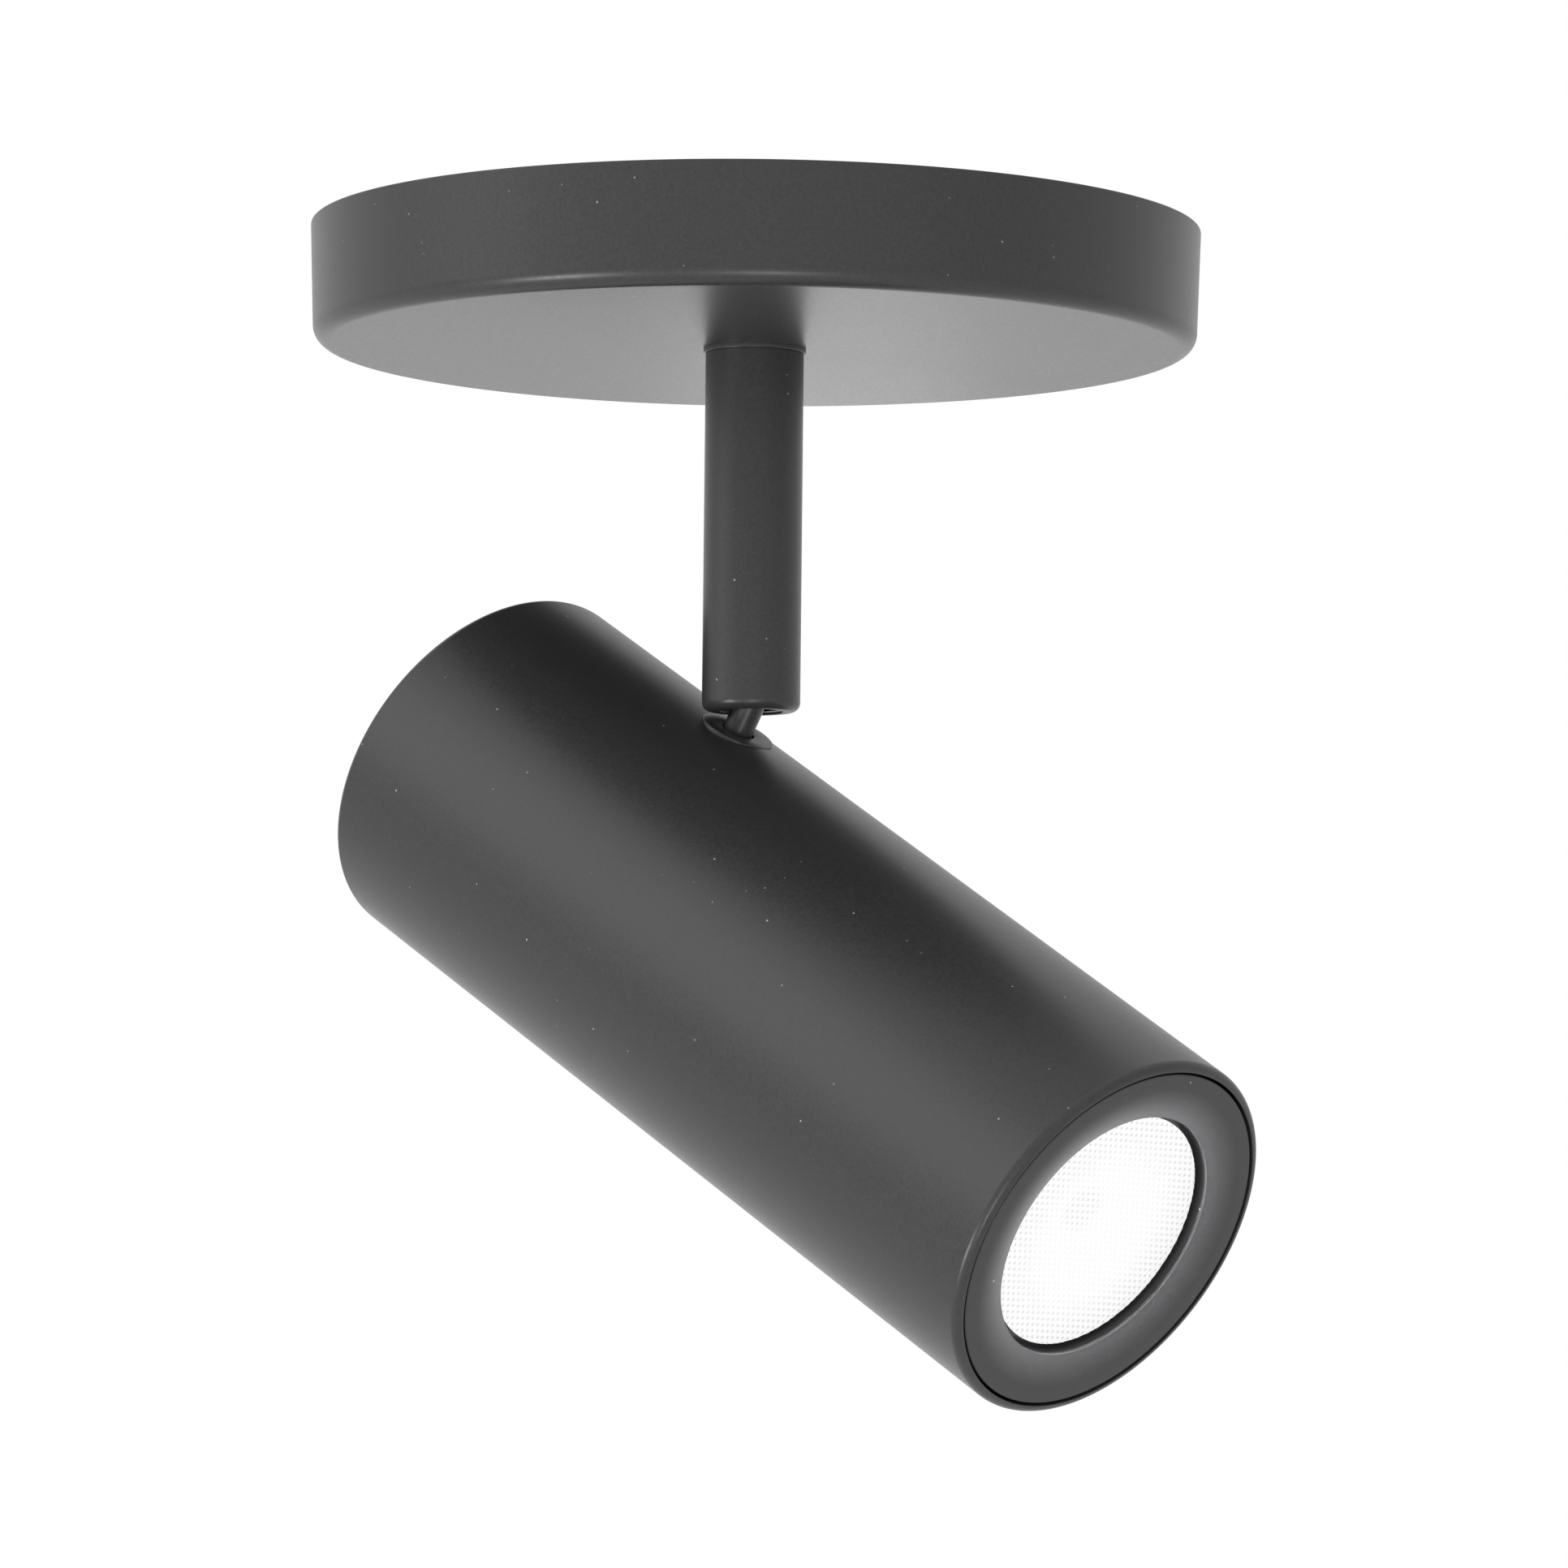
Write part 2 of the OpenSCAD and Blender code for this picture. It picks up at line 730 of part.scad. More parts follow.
module saddle_washer() {
    color("#c9ccd0")
        at_head()
            difference() {
                intersection() {
                    translate([0, 0, saddle_foot])
                        cylinder(d = saddle_d, h = head_r - saddle_foot, $fn = 144);
                    translate([-saddle_d, 0, 0]) rotate([0, 90, 0])
                        cylinder(r = saddle_top_r, h = 2 * saddle_d, $fn = 240);
                }
                translate([0, 0, saddle_foot - cut])
                    cylinder(d = spigot_d + 2 * seat_gap, h = head_r - saddle_foot + cut);
            }
}

module neck_nut() {
    color("#c7a34a")
        at_head()
            translate([0, 0, spine_foot - neck_nut_t])
                difference() {
                    hex_bar(neck_nut_flats, neck_nut_t);
                    translate([0, 0, -cut]) cylinder(d = spigot_d + 2 * seat_gap, h = neck_nut_t + 2 * cut);
                }
}

// Head

module housing_tube() {
    rear_edge = -head_rear + head_edge_r;
    front_edge = head_front - head_edge_r;
    profile = concat(
        [[tube_r, -head_rear]],
        arc([head_r - head_edge_r, rear_edge], head_edge_r, -90, 0, 8),
        arc([head_r - head_edge_r, front_edge], head_edge_r, 0, 90, 8),
        [[tube_r, head_front]]
    );
    color("#2b2b2c")
        at_head()
            difference() {
                turned_aim(profile);
                translate([0, 0, collar_floor])
                    cylinder(d = neck_collar_d + 2 * seat_gap, h = collar_top - collar_floor + cut);
                translate([0, 0, tube_r - cut])
                    cylinder(d = spigot_d + 2 * seat_gap, h = head_wall + 2 * cut);
            }
}

module rear_cap() {
    back = cap_inset - head_rear;
    front = back + cap_t;
    color("#2b2b2c")
        at_head()
            turned_aim([
                [0, back], [cap_r - cap_edge, back], [cap_r, back + cap_edge], [cap_r, back + cap_skirt],
                [cap_r - cap_wall, back + cap_skirt], [cap_r - cap_wall, front], [0, front]
            ]);
}

module trim_ring() {
    dish_steps = 10;
    profile = concat(
        [[trim_open_r, trim_back_x]],
        [for (i = [0:dish_steps])
            [trim_open_r + dish_w * i / dish_steps, trim_face_x - trim_dish_t * pow(1 - i / dish_steps, 2)]],
        [[trim_r - trim_edge, trim_face_x], [trim_r, trim_face_x - trim_edge]],
        [[trim_r, trim_back_x - trim_skirt], [trim_r - trim_wall, trim_back_x - trim_skirt]],
        [[trim_r - trim_wall, trim_back_x]]
    );
    color("#2b2b2c") at_head() turned_aim(profile);
}

module lens_cover() {
    flange_x = trim_back_x - seat_gap;
    color("#f4f6f8")
        at_head()
            turned_aim([
                [0, lens_back_x], [lens_flange_r, lens_back_x], [lens_flange_r, flange_x],
                [lens_boss_r, flange_x], [lens_boss_r, lens_face_x], [0, lens_face_x]
            ]);
}

module lens_gasket() {
    color("#55565a")
        at_head()
            turned_aim([
                [lens_flange_r - gasket_w, rim_x], [lens_flange_r, rim_x],
                [lens_flange_r, lens_back_x], [lens_flange_r - gasket_w, lens_back_x]
            ]);
}

// Radius of the reflector's inner wall, as a share of the way from its back to its rim
function reflector_r(share) =
    reflector_back_r + (reflector_front_r - reflector_back_r)
        * ((1 - reflector_bow_share) * share + reflector_bow_share * sqrt(share));

module reflector() {
    steps = 12;
    rim_back = rim_x - rim_t;
    crowding = 1.6;
    function share(i) = pow(i / steps, crowding);
    function station(i) = reflector_back_x + (rim_x - reflector_back_x) * share(i);
    inner = [for (i = [0:steps]) [reflector_r(share(i)), station(i)]];
    outer = [
        for (i = [steps:-1:0])
            [reflector_r(share(i)) + reflector_t, min(station(i), rim_back)]
    ];
    color("#d9dcdf")
        at_head()
            turned_aim(concat(inner, [[rim_r, rim_x], [rim_r, rim_back]], outer));
}

// Light source

module led_emitter() {
    color("#f3d65a")
        at_head() translate([emitter_x, 0, 0]) rotate([0, 90, 0]) cylinder(d = emitter_d, h = emitter_t);
}

module led_board() {
    color("#f0f1f2")
        at_head()
            difference() {
                translate([board_x, -board_w / 2, -board_w / 2]) cube([board_t, board_w, board_w]);
                led_lead_holes(board_x, board_t);
            }
}

// The two places of the holder's screws, clear of the board's sides
module at_holder_screws() {
    for (turn = [0, 180])
        rotate([turn, 0, 0]) translate([0, 0, holder_pitch / 2]) children();
}

module led_holder() {
    pocket = board_t + seat_gap;
    board_fit = board_w + 2 * seat_gap;
    foot_r = holder_d / 2 + holder_head_d / 4;
    bevel = holder_t - pocket;
    color("#f0f1f2")
        at_head()
            difference() {
                translate([board_x, 0, 0]) turned_aim([
                    [0, 0], [foot_r, 0], [foot_r, pocket], [holder_d / 2, holder_t], [0, holder_t]
                ]);
                translate([board_x - cut, -board_fit / 2, -board_fit / 2])
                    cube([pocket + cut, board_fit, board_fit]);
                translate([board_x, 0, 0]) rotate([0, 90, 0])
                    cylinder(d1 = holder_bore_d - bevel, d2 = holder_bore_d, h = holder_t + seat_gap);
                at_holder_screws() translate([board_x - cut, 0, 0]) rotate([0, 90, 0])
                    cylinder(d = holder_screw_d + 2 * hole_gap, h = holder_t + 2 * cut);
                at_holder_screws() translate([board_x + holder_t - holder_head_t, 0, 0]) rotate([0, 90, 0])
                    cylinder(d = holder_head_d + 2 * hole_gap, h = holder_head_t + cut);
            }
}

module holder_screws() {
    seat = board_x + holder_t - holder_head_t;
    color("#c9ccd0")
        at_head()
            at_holder_screws() translate([seat, 0, 0]) rotate([0, 90, 0])
                socket_screw(holder_screw_d, holder_t + holder_screw_d, holder_head_d, holder_head_t);
}

module thermal_pad() {
    color("#8f9aa8")
        at_head()
            translate([sink_front_x, 0, 0])
                difference() {
                    rotate([0, 90, 0]) cylinder(d = holder_d, h = pad_t - seat_gap);
                    at_holder_screws() translate([-cut, 0, 0]) rotate([0, 90, 0])
                        cylinder(d = holder_screw_d + 2 * hole_gap, h = pad_t + 2 * cut);
                    led_lead_holes(0, pad_t);
                }
}

module heat_sink() {
    base_x = sink_front_x - sink_base_t;
    fin_out = sink_r - fin_step;
    color("#c4c7cb")
        at_head()
            difference() {
                union() {
                    translate([base_x, 0, 0]) rotate([0, 90, 0]) cylinder(r = sink_r, h = sink_base_t);
                    translate([sink_back_x, 0, 0]) rotate([0, 90, 0])
                        cylinder(r = sink_core_r, h = fin_len + sink_base_t);
                    for (i = [0:fin_count - 1])
                        rotate([fin_pitch / 2 + i * fin_pitch, 0, 0])
                            translate([sink_back_x, -fin_t / 2, sink_core_r - fin_root])
                                cube([fin_len + sink_base_t / 2, fin_t, fin_out - sink_core_r + fin_root]);
                }
                for (side = [-1, 1]) translate([sink_back_x - cut, side * foot_bolt_y, 0]) rotate([0, 90, 0])
                    cylinder(d = bolt_d + 2 * seat_gap, h = bolt_len + 2 * cut);
                at_holder_screws() translate([base_x - cut, 0, 0]) rotate([0, 90, 0])
                    cylinder(d = holder_screw_d + 2 * seat_gap, h = sink_base_t + 2 * cut);
                led_lead_holes(base_x, sink_base_t);
            }
}

// Chassis and driver

module chassis() {
    bend_out = foot_t + plate_bend_r;
    side_view = concat(
        [[driver_x, spine_top], [driver_x, spine_foot]],
        arc([sink_back_x - bend_out, spine_foot - plate_bend_r], plate_bend_r, 90, 0),
        [[foot_x, -foot_drop], [sink_back_x, -foot_drop]],
        arc([sink_back_x - bend_out, spine_foot - plate_bend_r], bend_out, 0, 90)
    );
    color("#b9bcc0")
        at_head()
            difference() {
                translate([0, spine_w / 2, 0]) rotate([90, 0, 0]) linear_extrude(spine_w) polygon(side_view);
                translate([0, 0, spine_foot - cut])
                    cylinder(d = spigot_d + 2 * seat_gap, h = spine_t + 2 * cut);
                for (x = standoff_xs)
                    translate([x, 0, spine_foot - cut])
                        cylinder(d = bolt_d + 2 * hole_gap, h = spine_t + 2 * cut);
                for (side = [-1, 1]) translate([foot_x - cut, side * foot_bolt_y, 0]) rotate([0, 90, 0])
                    cylinder(d = bolt_d + 2 * hole_gap, h = foot_t + 2 * cut);
            }
}

module chassis_screws() {
    color("#c9ccd0")
        at_head()
            for (side = [-1, 1])
                translate([foot_x, side * foot_bolt_y, 0]) rotate([0, -90, 0])
                    socket_screw(bolt_d, bolt_len + foot_t, bolt_head_d, bolt_head_t);
}

// Outline of the driver seen along the aim, with round lower corners
module driver_outline(w, h) {
    r = driver_edge_r;
    polygon(concat(
        [[-w / 2, 0]], arc([r - w / 2, r - h], r, 180, 270),
        arc([w / 2 - r, r - h], r, 270, 360), [[w / 2, 0]]
    ));
}

module driver_case() {
    shell_top = driver_top - driver_lid_t;
    color("#3a3b3e")
        at_head()
            difference() {
                translate([driver_x, 0, shell_top]) rotate([90, 0, 90])
                    linear_extrude(driver_len) driver_outline(driver_w, driver_h - driver_lid_t);
                for (x = standoff_xs) translate([x, 0, driver_top - driver_h / 2])
                    cylinder(d = bolt_d + 2 * seat_gap, h = driver_h);
                led_lead_holes(driver_x + driver_len - bolt_d + cut, bolt_d);
            }
}

module driver_lid() {
    color("#3a3b3e")
        at_head()
            difference() {
                translate([driver_x, -driver_w / 2, driver_top - driver_lid_t + seat_gap])
                    cube([driver_len, driver_w, driver_lid_t - seat_gap]);
                for (x = standoff_xs) translate([x, 0, driver_top - driver_lid_t - cut])
                    cylinder(d = bolt_d + 2 * hole_gap, h = driver_lid_t + 2 * cut);
            }
}

module driver_standoffs() {
    color("#c7a34a")
        at_head()
            for (x = standoff_xs)
                translate([x, 0, 0]) ring(standoff_d / 2, bolt_d / 2 + hole_gap, driver_top, spine_foot);
}

module driver_screws() {
    color("#c9ccd0")
        at_head()
            for (x = standoff_xs)
                translate([x, 0, spine_top])
                    socket_screw(bolt_d, spine_top - driver_top + driver_h / 4, bolt_head_d, bolt_head_t);
}

module terminal_block() {
    color("#e6e4dc")
        at_head()
            difference() {
                translate([block_x, -block_w / 2, driver_top]) cube([block_len, block_w, block_h]);
                for (i = [-1:1])
                    translate([block_x + block_len / 4, i * block_w / 3, head_lead_z])
                        cylinder(d = block_screw_d, h = block_h);
                translate([block_x + block_len / 2, -block_mouth / 2, head_lead_z - block_mouth / 2])
                    cube([block_len, block_mouth, block_mouth]);
            }
}

module head_leads() {
    top = pivot_h + neck_bore_d / 2;
    bend_r = spigot_foot - head_lead_z;
    end = -block_x - block_len / 2 - seat_gap;
    color("#e9e8e4")
        at_head()
            for (turn = [0:120:240]) {
                back = lead_ring_r * cos(turn);
                r = bend_r - back;
                bend = arc([bend_r, spigot_foot], r, 180, 270);
                rotate([0, 0, 180]) translate([0, lead_ring_r * sin(turn), 0])
                    lead(concat([[back, top]], bend, [[end, spigot_foot - r]]));
            }
}

// The two leads to the light source, in gaps between fins
module at_led_leads() {
    for (side = [-1, 1])
        rotate([side * led_lead_turn, 0, 0]) translate([0, 0, led_lead_r]) children();
}

// Holes for those leads through a plate that starts at a station along the aim
module led_lead_holes(x, t) {
    at_led_leads() translate([x - cut, 0, 0]) rotate([0, 90, 0])
        cylinder(d = lead_d + 2 * hole_gap, h = t + 2 * cut);
}

module led_leads() {
    start = driver_x + driver_len - bolt_d / 2;
    color("#c23b34")
        at_head()
            at_led_leads() translate([start, 0, 0]) rotate([0, 90, 0])
                cylinder(d = lead_d, h = emitter_x - start);
}

canopy_shell();
mounting_plate();
canopy_screws();
ground_screw();
ground_terminal();
stem_collar();
stem_nipple();
nipple_bushing();
nipple_washer();
nipple_nut();
stem_plug();
stem_tube();
pan_retainer();
friction_washer();
stop_screw();
lead_live();
lead_neutral();
lead_ground();
lead_connectors();
swivel_washer();
swivel_barrel();
pivot_pins();
neck_post();
neck_collar();
saddle_washer();
neck_nut();
housing_tube();
rear_cap();
trim_ring();
lens_cover();
lens_gasket();
reflector();
led_emitter();
led_board();
led_holder();
holder_screws();
thermal_pad();
heat_sink();
chassis();
chassis_screws();
driver_case();
driver_lid();
driver_standoffs();
driver_screws();
terminal_block();
head_leads();
led_leads();
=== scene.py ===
# %% [markdown]
# # A ceiling spotlight, from bare model to finished product
# The CAD model brings every part at its real size and place. This lesson gives the parts
# their finishes, remakes the ones whose fine shape shows, and lights them like a product
# shot on white. The frame uses metres. A value whose name ends in _MM is in millimetres and
# is multiplied by MM where Blender gets it.

# %% Load the model
import json
import math

import bmesh
import bpy
from mathutils import Matrix, Vector


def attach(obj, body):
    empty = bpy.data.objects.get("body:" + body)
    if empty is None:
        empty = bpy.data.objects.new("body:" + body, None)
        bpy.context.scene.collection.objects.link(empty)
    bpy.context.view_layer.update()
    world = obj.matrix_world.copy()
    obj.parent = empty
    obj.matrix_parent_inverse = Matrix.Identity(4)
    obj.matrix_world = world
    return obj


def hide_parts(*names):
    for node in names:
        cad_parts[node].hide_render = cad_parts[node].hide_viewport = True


MM = 0.001

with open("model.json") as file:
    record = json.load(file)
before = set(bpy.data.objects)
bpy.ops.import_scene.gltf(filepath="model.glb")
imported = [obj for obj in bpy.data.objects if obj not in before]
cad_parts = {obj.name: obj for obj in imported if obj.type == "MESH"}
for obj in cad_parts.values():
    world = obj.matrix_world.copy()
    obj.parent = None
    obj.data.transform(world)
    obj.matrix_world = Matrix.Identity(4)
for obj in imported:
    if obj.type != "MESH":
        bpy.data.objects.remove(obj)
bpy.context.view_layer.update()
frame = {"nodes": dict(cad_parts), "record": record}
nodes = frame["nodes"]

# %% [markdown]
# ## The camera
# A product photograph is taken from far away with a long lens, so that round parts keep
# their shape. This camera stands 1.2 metres in front of the light, a little below the
# canopy, and looks up by five degrees. Its place and lens were found by matching the rims
# of the canopy and the outline of the head.

# %% Set the camera
CAMERA_PLACE = (-0.00574, -1.18435, -0.18516)
CAMERA_UP_TILT = math.radians(5.11)
CAMERA_ROLL = math.radians(0.59)
CAMERA_HEADING = math.radians(0.51)
# Blender counts these two in millimetres.
CAMERA_LENS = 192.24
SENSOR_WIDTH = 36


def camera_axes():
    """Right, up and back directions of a camera that looks along +Y before it is turned."""
    ahead = Vector((
        math.sin(CAMERA_HEADING) * math.cos(CAMERA_UP_TILT),
        math.cos(CAMERA_HEADING) * math.cos(CAMERA_UP_TILT),
        math.sin(CAMERA_UP_TILT),
    ))
    right = ahead.cross(Vector((0, 0, 1))).normalized()
    up = right.cross(ahead)
    cos_roll, sin_roll = math.cos(CAMERA_ROLL), math.sin(CAMERA_ROLL)
    return right * cos_roll + up * sin_roll, up * cos_roll - right * sin_roll, -ahead


def set_camera():
    data = bpy.data.cameras.new("studio_camera")
    data.lens = CAMERA_LENS
    data.sensor_width = SENSOR_WIDTH
    data.clip_start = 0.05
    data.clip_end = 50
    camera = bpy.data.objects.new("studio_camera", data)
    bpy.context.scene.collection.objects.link(camera)
    pose = Matrix(camera_axes()).transposed().to_4x4()
    camera.matrix_world = Matrix.Translation(CAMERA_PLACE) @ pose
    bpy.context.scene.camera = camera
    return camera


camera = set_camera()
print(camera.name, "has a lens of", round(camera.data.lens, 2), "mm")

# %% [markdown]
# ## Colours and sizes for finishes
# A colour is easiest to pick on a screen, but Blender mixes light, which is linear, so one
# function turns the hex code of a screen colour to linear shares. Patterns read object
# coordinates, which are metres. Their scale comes from the real width of a grain, so that
# no finish has to be found by trial.

# %% Turn colours and sizes to node values
def srgb(code):
    """Linear colour of a hex code such as 2b2b2c."""
    shares = [int(code[i:i + 2], 16) / 255 for i in (0, 2, 4)]
    linear = [s / 12.92 if s <= 0.04045 else ((s + 0.055) / 1.055) ** 2.4 for s in shares]
    return (*linear, 1.0)


def per_mm(size):
    """Texture scale at which one feature is `size` millimetres wide."""
    return 1 / MM / size


print("scale for grains of 2 mm:", per_mm(2))

# %% [markdown]
# ## Nodes
# A finish is a small tree of nodes. One helper adds a node of any kind: what it is given
# for an input is linked if it is another node's output, and is set as a value otherwise.
# Every finish starts from Blender's general surface shader with one colour and gloss.

# %% Add nodes and start a finish
# The inputs of a Mix node share their names, so they are told apart by number.
FACTOR, VALUE_A, VALUE_B, VALUE_OUT = 0, 2, 3, 0
COLOUR_A, COLOUR_B, COLOUR_OUT = 6, 7, 2


def add_node(tree, kind, inputs=None, **settings):
    """Adds a node, sets what it is told, and links or sets its inputs."""
    node = tree.nodes.new(kind)
    for name, value in settings.items():
        setattr(node, name, value)
    for name, value in (inputs or {}).items():
        if isinstance(value, bpy.types.NodeSocket):
            tree.links.new(value, node.inputs[name])
        else:
            node.inputs[name].default_value = value
    return node


def start_material(name, colour, roughness, **sockets):
    """A material whose shader has one plain colour and gloss."""
    material = bpy.data.materials.new(name)
    material.use_nodes = True
    tree = material.node_tree
    shader = tree.nodes["Principled BSDF"]
    shader.inputs["Base Color"].default_value = srgb(colour)
    shader.inputs["Roughness"].default_value = roughness
    for socket, value in sockets.items():
        shader.inputs[socket.replace("_", " ")].default_value = value
    return material, tree, shader


print("colour sockets:", COLOUR_A, COLOUR_B)

# %% [markdown]
# ## One grain for colour and gloss
# A perfectly even surface is what gives a computer picture away. On a real one, colour and
# gloss vary together, because both come from the same fine grain. So a single noise drives
# both here, and its height goes on to the bump. Most of a noise lies between 0.3 and 0.7,
# and that range is stretched over the whole change.

# %% Add a grain
NOISE_LOW = 0.3
NOISE_HIGH = 0.7


def add_grain(tree, place, grain_mm, detail, dark, light, gloss_low, gloss_high):
    """Outputs for the colour, the roughness and the height of a grained surface."""
    noise = add_node(tree, "ShaderNodeTexNoise", {
        "Vector": place, "Scale": per_mm(grain_mm), "Detail": detail,
    })
    height = noise.outputs["Fac"]
    source = {"Value": height, "From Min": NOISE_LOW, "From Max": NOISE_HIGH}
    shade = add_node(tree, "ShaderNodeMapRange", source)
    gloss = add_node(tree, "ShaderNodeMapRange", {
        **source, "To Min": gloss_low, "To Max": gloss_high,
    })
    colour = add_node(tree, "ShaderNodeMix", {
        FACTOR: shade.outputs[0], COLOUR_A: srgb(dark), COLOUR_B: srgb(light),
    }, data_type="RGBA")
    return colour.outputs[COLOUR_OUT], gloss.outputs[0], height


print("noise used from", NOISE_LOW, "to", NOISE_HIGH)

# %% [markdown]
# ## Black powder coat
# The outside is steel and aluminium with a black polyester powder, sprayed dry and baked
# until it flows. The melt never lies quite flat: it keeps a faint orange peel some two
# millimetres wide, a finer grain, and here and there a grain of dust under the film. The
# finish is satin, so it takes broad soft reflections and turns pale at a glancing angle.
# The dust is a pattern of cells of which only a few hold a speck. Images could do it, but
# would have to be unwrapped on every piece.

# %% Make the powder coat
PEEL_MM = 2.4
PEEL_HIGH_MM = 0.02
PEEL_STRENGTH = 0.5
COAT_GRAIN_MM = 0.45
COAT_GRAIN_HIGH_MM = 0.008
GRAIN_STRENGTH = 0.6
COAT_GLOSS = (0.33, 0.39)
COAT_SPECULAR = 0.34
DUST_SPACING_MM = 2.4
DUST_SHARE = 0.075
DUST_CORE = 0.3
DUSTY_CELLS = 0.7


def add_dust(tree, place):
    """A value that rises to 1 in the specks of dust and is 0 around them."""
    cells = add_node(tree, "ShaderNodeTexVoronoi", {
        "Vector": place, "Scale": per_mm(DUST_SPACING_MM),
    })
    spot = add_node(tree, "ShaderNodeMapRange", {
        "Value": cells.outputs["Distance"], "From Min": DUST_SHARE,
        "From Max": DUST_SHARE * DUST_CORE,
    })
    chance = add_node(tree, "ShaderNodeSeparateColor", {"Color": cells.outputs["Color"]})
    few = add_node(tree, "ShaderNodeMapRange", {
        "Value": chance.outputs["Red"], "From Min": DUSTY_CELLS,
    })
    return add_node(tree, "ShaderNodeMath", {
        0: spot.outputs[0], 1: few.outputs[0],
    }, operation="MULTIPLY").outputs[0]


def make_powder_coat():
    material, tree, shader = start_material(
        "black_polyester_powder_coat", "2c2c2d", 0.36, Specular_IOR_Level=COAT_SPECULAR)
    place = add_node(tree, "ShaderNodeTexCoord").outputs["Object"]
    colour, gloss, height = add_grain(
        tree, place, COAT_GRAIN_MM, 2.0, "29292a", "303031", *COAT_GLOSS)
    dusty = add_node(tree, "ShaderNodeMix", {
        FACTOR: add_dust(tree, place), COLOUR_A: colour, COLOUR_B: srgb("b8b8b6"),
    }, data_type="RGBA")
    peel = add_node(tree, "ShaderNodeTexNoise", {
        "Vector": place, "Scale": per_mm(PEEL_MM), "Detail": 1.0,
    })
    wavy = add_node(tree, "ShaderNodeBump", {
        "Height": peel.outputs["Fac"], "Distance": PEEL_HIGH_MM * MM,
        "Strength": PEEL_STRENGTH,
    })
    fine = add_node(tree, "ShaderNodeBump", {
        "Height": height, "Distance": COAT_GRAIN_HIGH_MM * MM,
        "Strength": GRAIN_STRENGTH, "Normal": wavy.outputs["Normal"],
    })
    tree.links.new(dusty.outputs[COLOUR_OUT], shader.inputs["Base Color"])
    tree.links.new(gloss, shader.inputs["Roughness"])
    tree.links.new(fine.outputs["Normal"], shader.inputs["Normal"])
    return material


powder_coat = make_powder_coat()
print("made", powder_coat.name)

# %% [markdown]
# ## Metals
# All metals here are full metals, so their colour is that of the reflection. They differ in
# their skin: plated, blackened, rolled, turned or spun bright. Each gets its own grain, and
# a grain that is drawn out along the piece gives the lines of a rolling mill or an
# extrusion without modelling one of them.

# %% Make the metals
ROLL_LINE_MM = 0.25
ROLL_STRETCH = 0.04


def make_finish(name, colour, dark, low, high, grain_mm, bump_mm, detail, stretch, **sockets):
    """A finish that varies with one grain, which a stretch under 1 draws out along X."""
    material, tree, shader = start_material(name, colour, low, **sockets)
    place = add_node(tree, "ShaderNodeTexCoord").outputs["Object"]
    drawn = add_node(tree, "ShaderNodeMapping", {"Vector": place, "Scale": (stretch, 1, 1)})
    mottle, gloss, height = add_grain(
        tree, drawn.outputs[0], grain_mm, detail, dark, colour, low, high)
    bump = add_node(tree, "ShaderNodeBump", {
        "Height": height, "Distance": bump_mm * MM, "Strength": GRAIN_STRENGTH,
    })
    tree.links.new(mottle, shader.inputs["Base Color"])
    tree.links.new(gloss, shader.inputs["Roughness"])
    tree.links.new(bump.outputs["Normal"], shader.inputs["Normal"])
    return material


def make_metal(name, colour, dark, low, high, grain_mm=0.3, bump_mm=0.004, stretch=1.0):
    return make_finish(
        name, colour, dark, low, high, grain_mm, bump_mm, 3.0, stretch, Metallic=1.0)


METALS = {
    # zinc plate on rolled strip: bright, faintly blue, with the straight lines of the mill
    "zinc_plated_steel": make_metal(
        "zinc_plated_steel", "c3c7cc", "adb2b8", 0.25, 0.4, ROLL_LINE_MM, stretch=ROLL_STRETCH),
    # hot blackening leaves a thin dull skin on screws
    "black_oxide_steel": make_metal("black_oxide_steel", "3a3a3c", "2b2b2d", 0.35, 0.5),
    # bar turned on a lathe: warm and fairly bright
    "brass": make_metal("turned_brass", "cda64c", "b8923d", 0.22, 0.36),
    # the same bar, blackened so that it doesn't shine in the stem's mouth
    "blackened_brass": make_metal("blackened_brass", "47464a", "38383b", 0.3, 0.45),
    # cut from an extrusion: pale grey with long fine lines
    "turned_aluminium": make_metal(
        "turned_aluminium", "c9cbce", "b8babd", 0.3, 0.45, stretch=ROLL_STRETCH),
    # spun and brightened: nearly a mirror, with broad low waves
    "polished_aluminium": make_metal(
        "spun_aluminium_mirror", "e4e6e8", "dcdee0", 0.06, 0.12, grain_mm=1.5, bump_mm=0.001),
}
print("metals made:", len(METALS))

# %% [markdown]
# ## Plastics, rubbers and paints
# Moulded nylon is slightly milky, PVC on the leads is smooth and a little waxy, and
# silicone is matt. They are no metals, so their colour lies under a clear reflection. Each
# gets a fine mottle and a light texture from its mould.

# %% Make the plastics
def make_plastic(name, colour, dark, low, high, grain_mm=0.6, bump_mm=0.006, **sockets):
    return make_finish(name, colour, dark, low, high, grain_mm, bump_mm, 2.0, 1.0, **sockets)


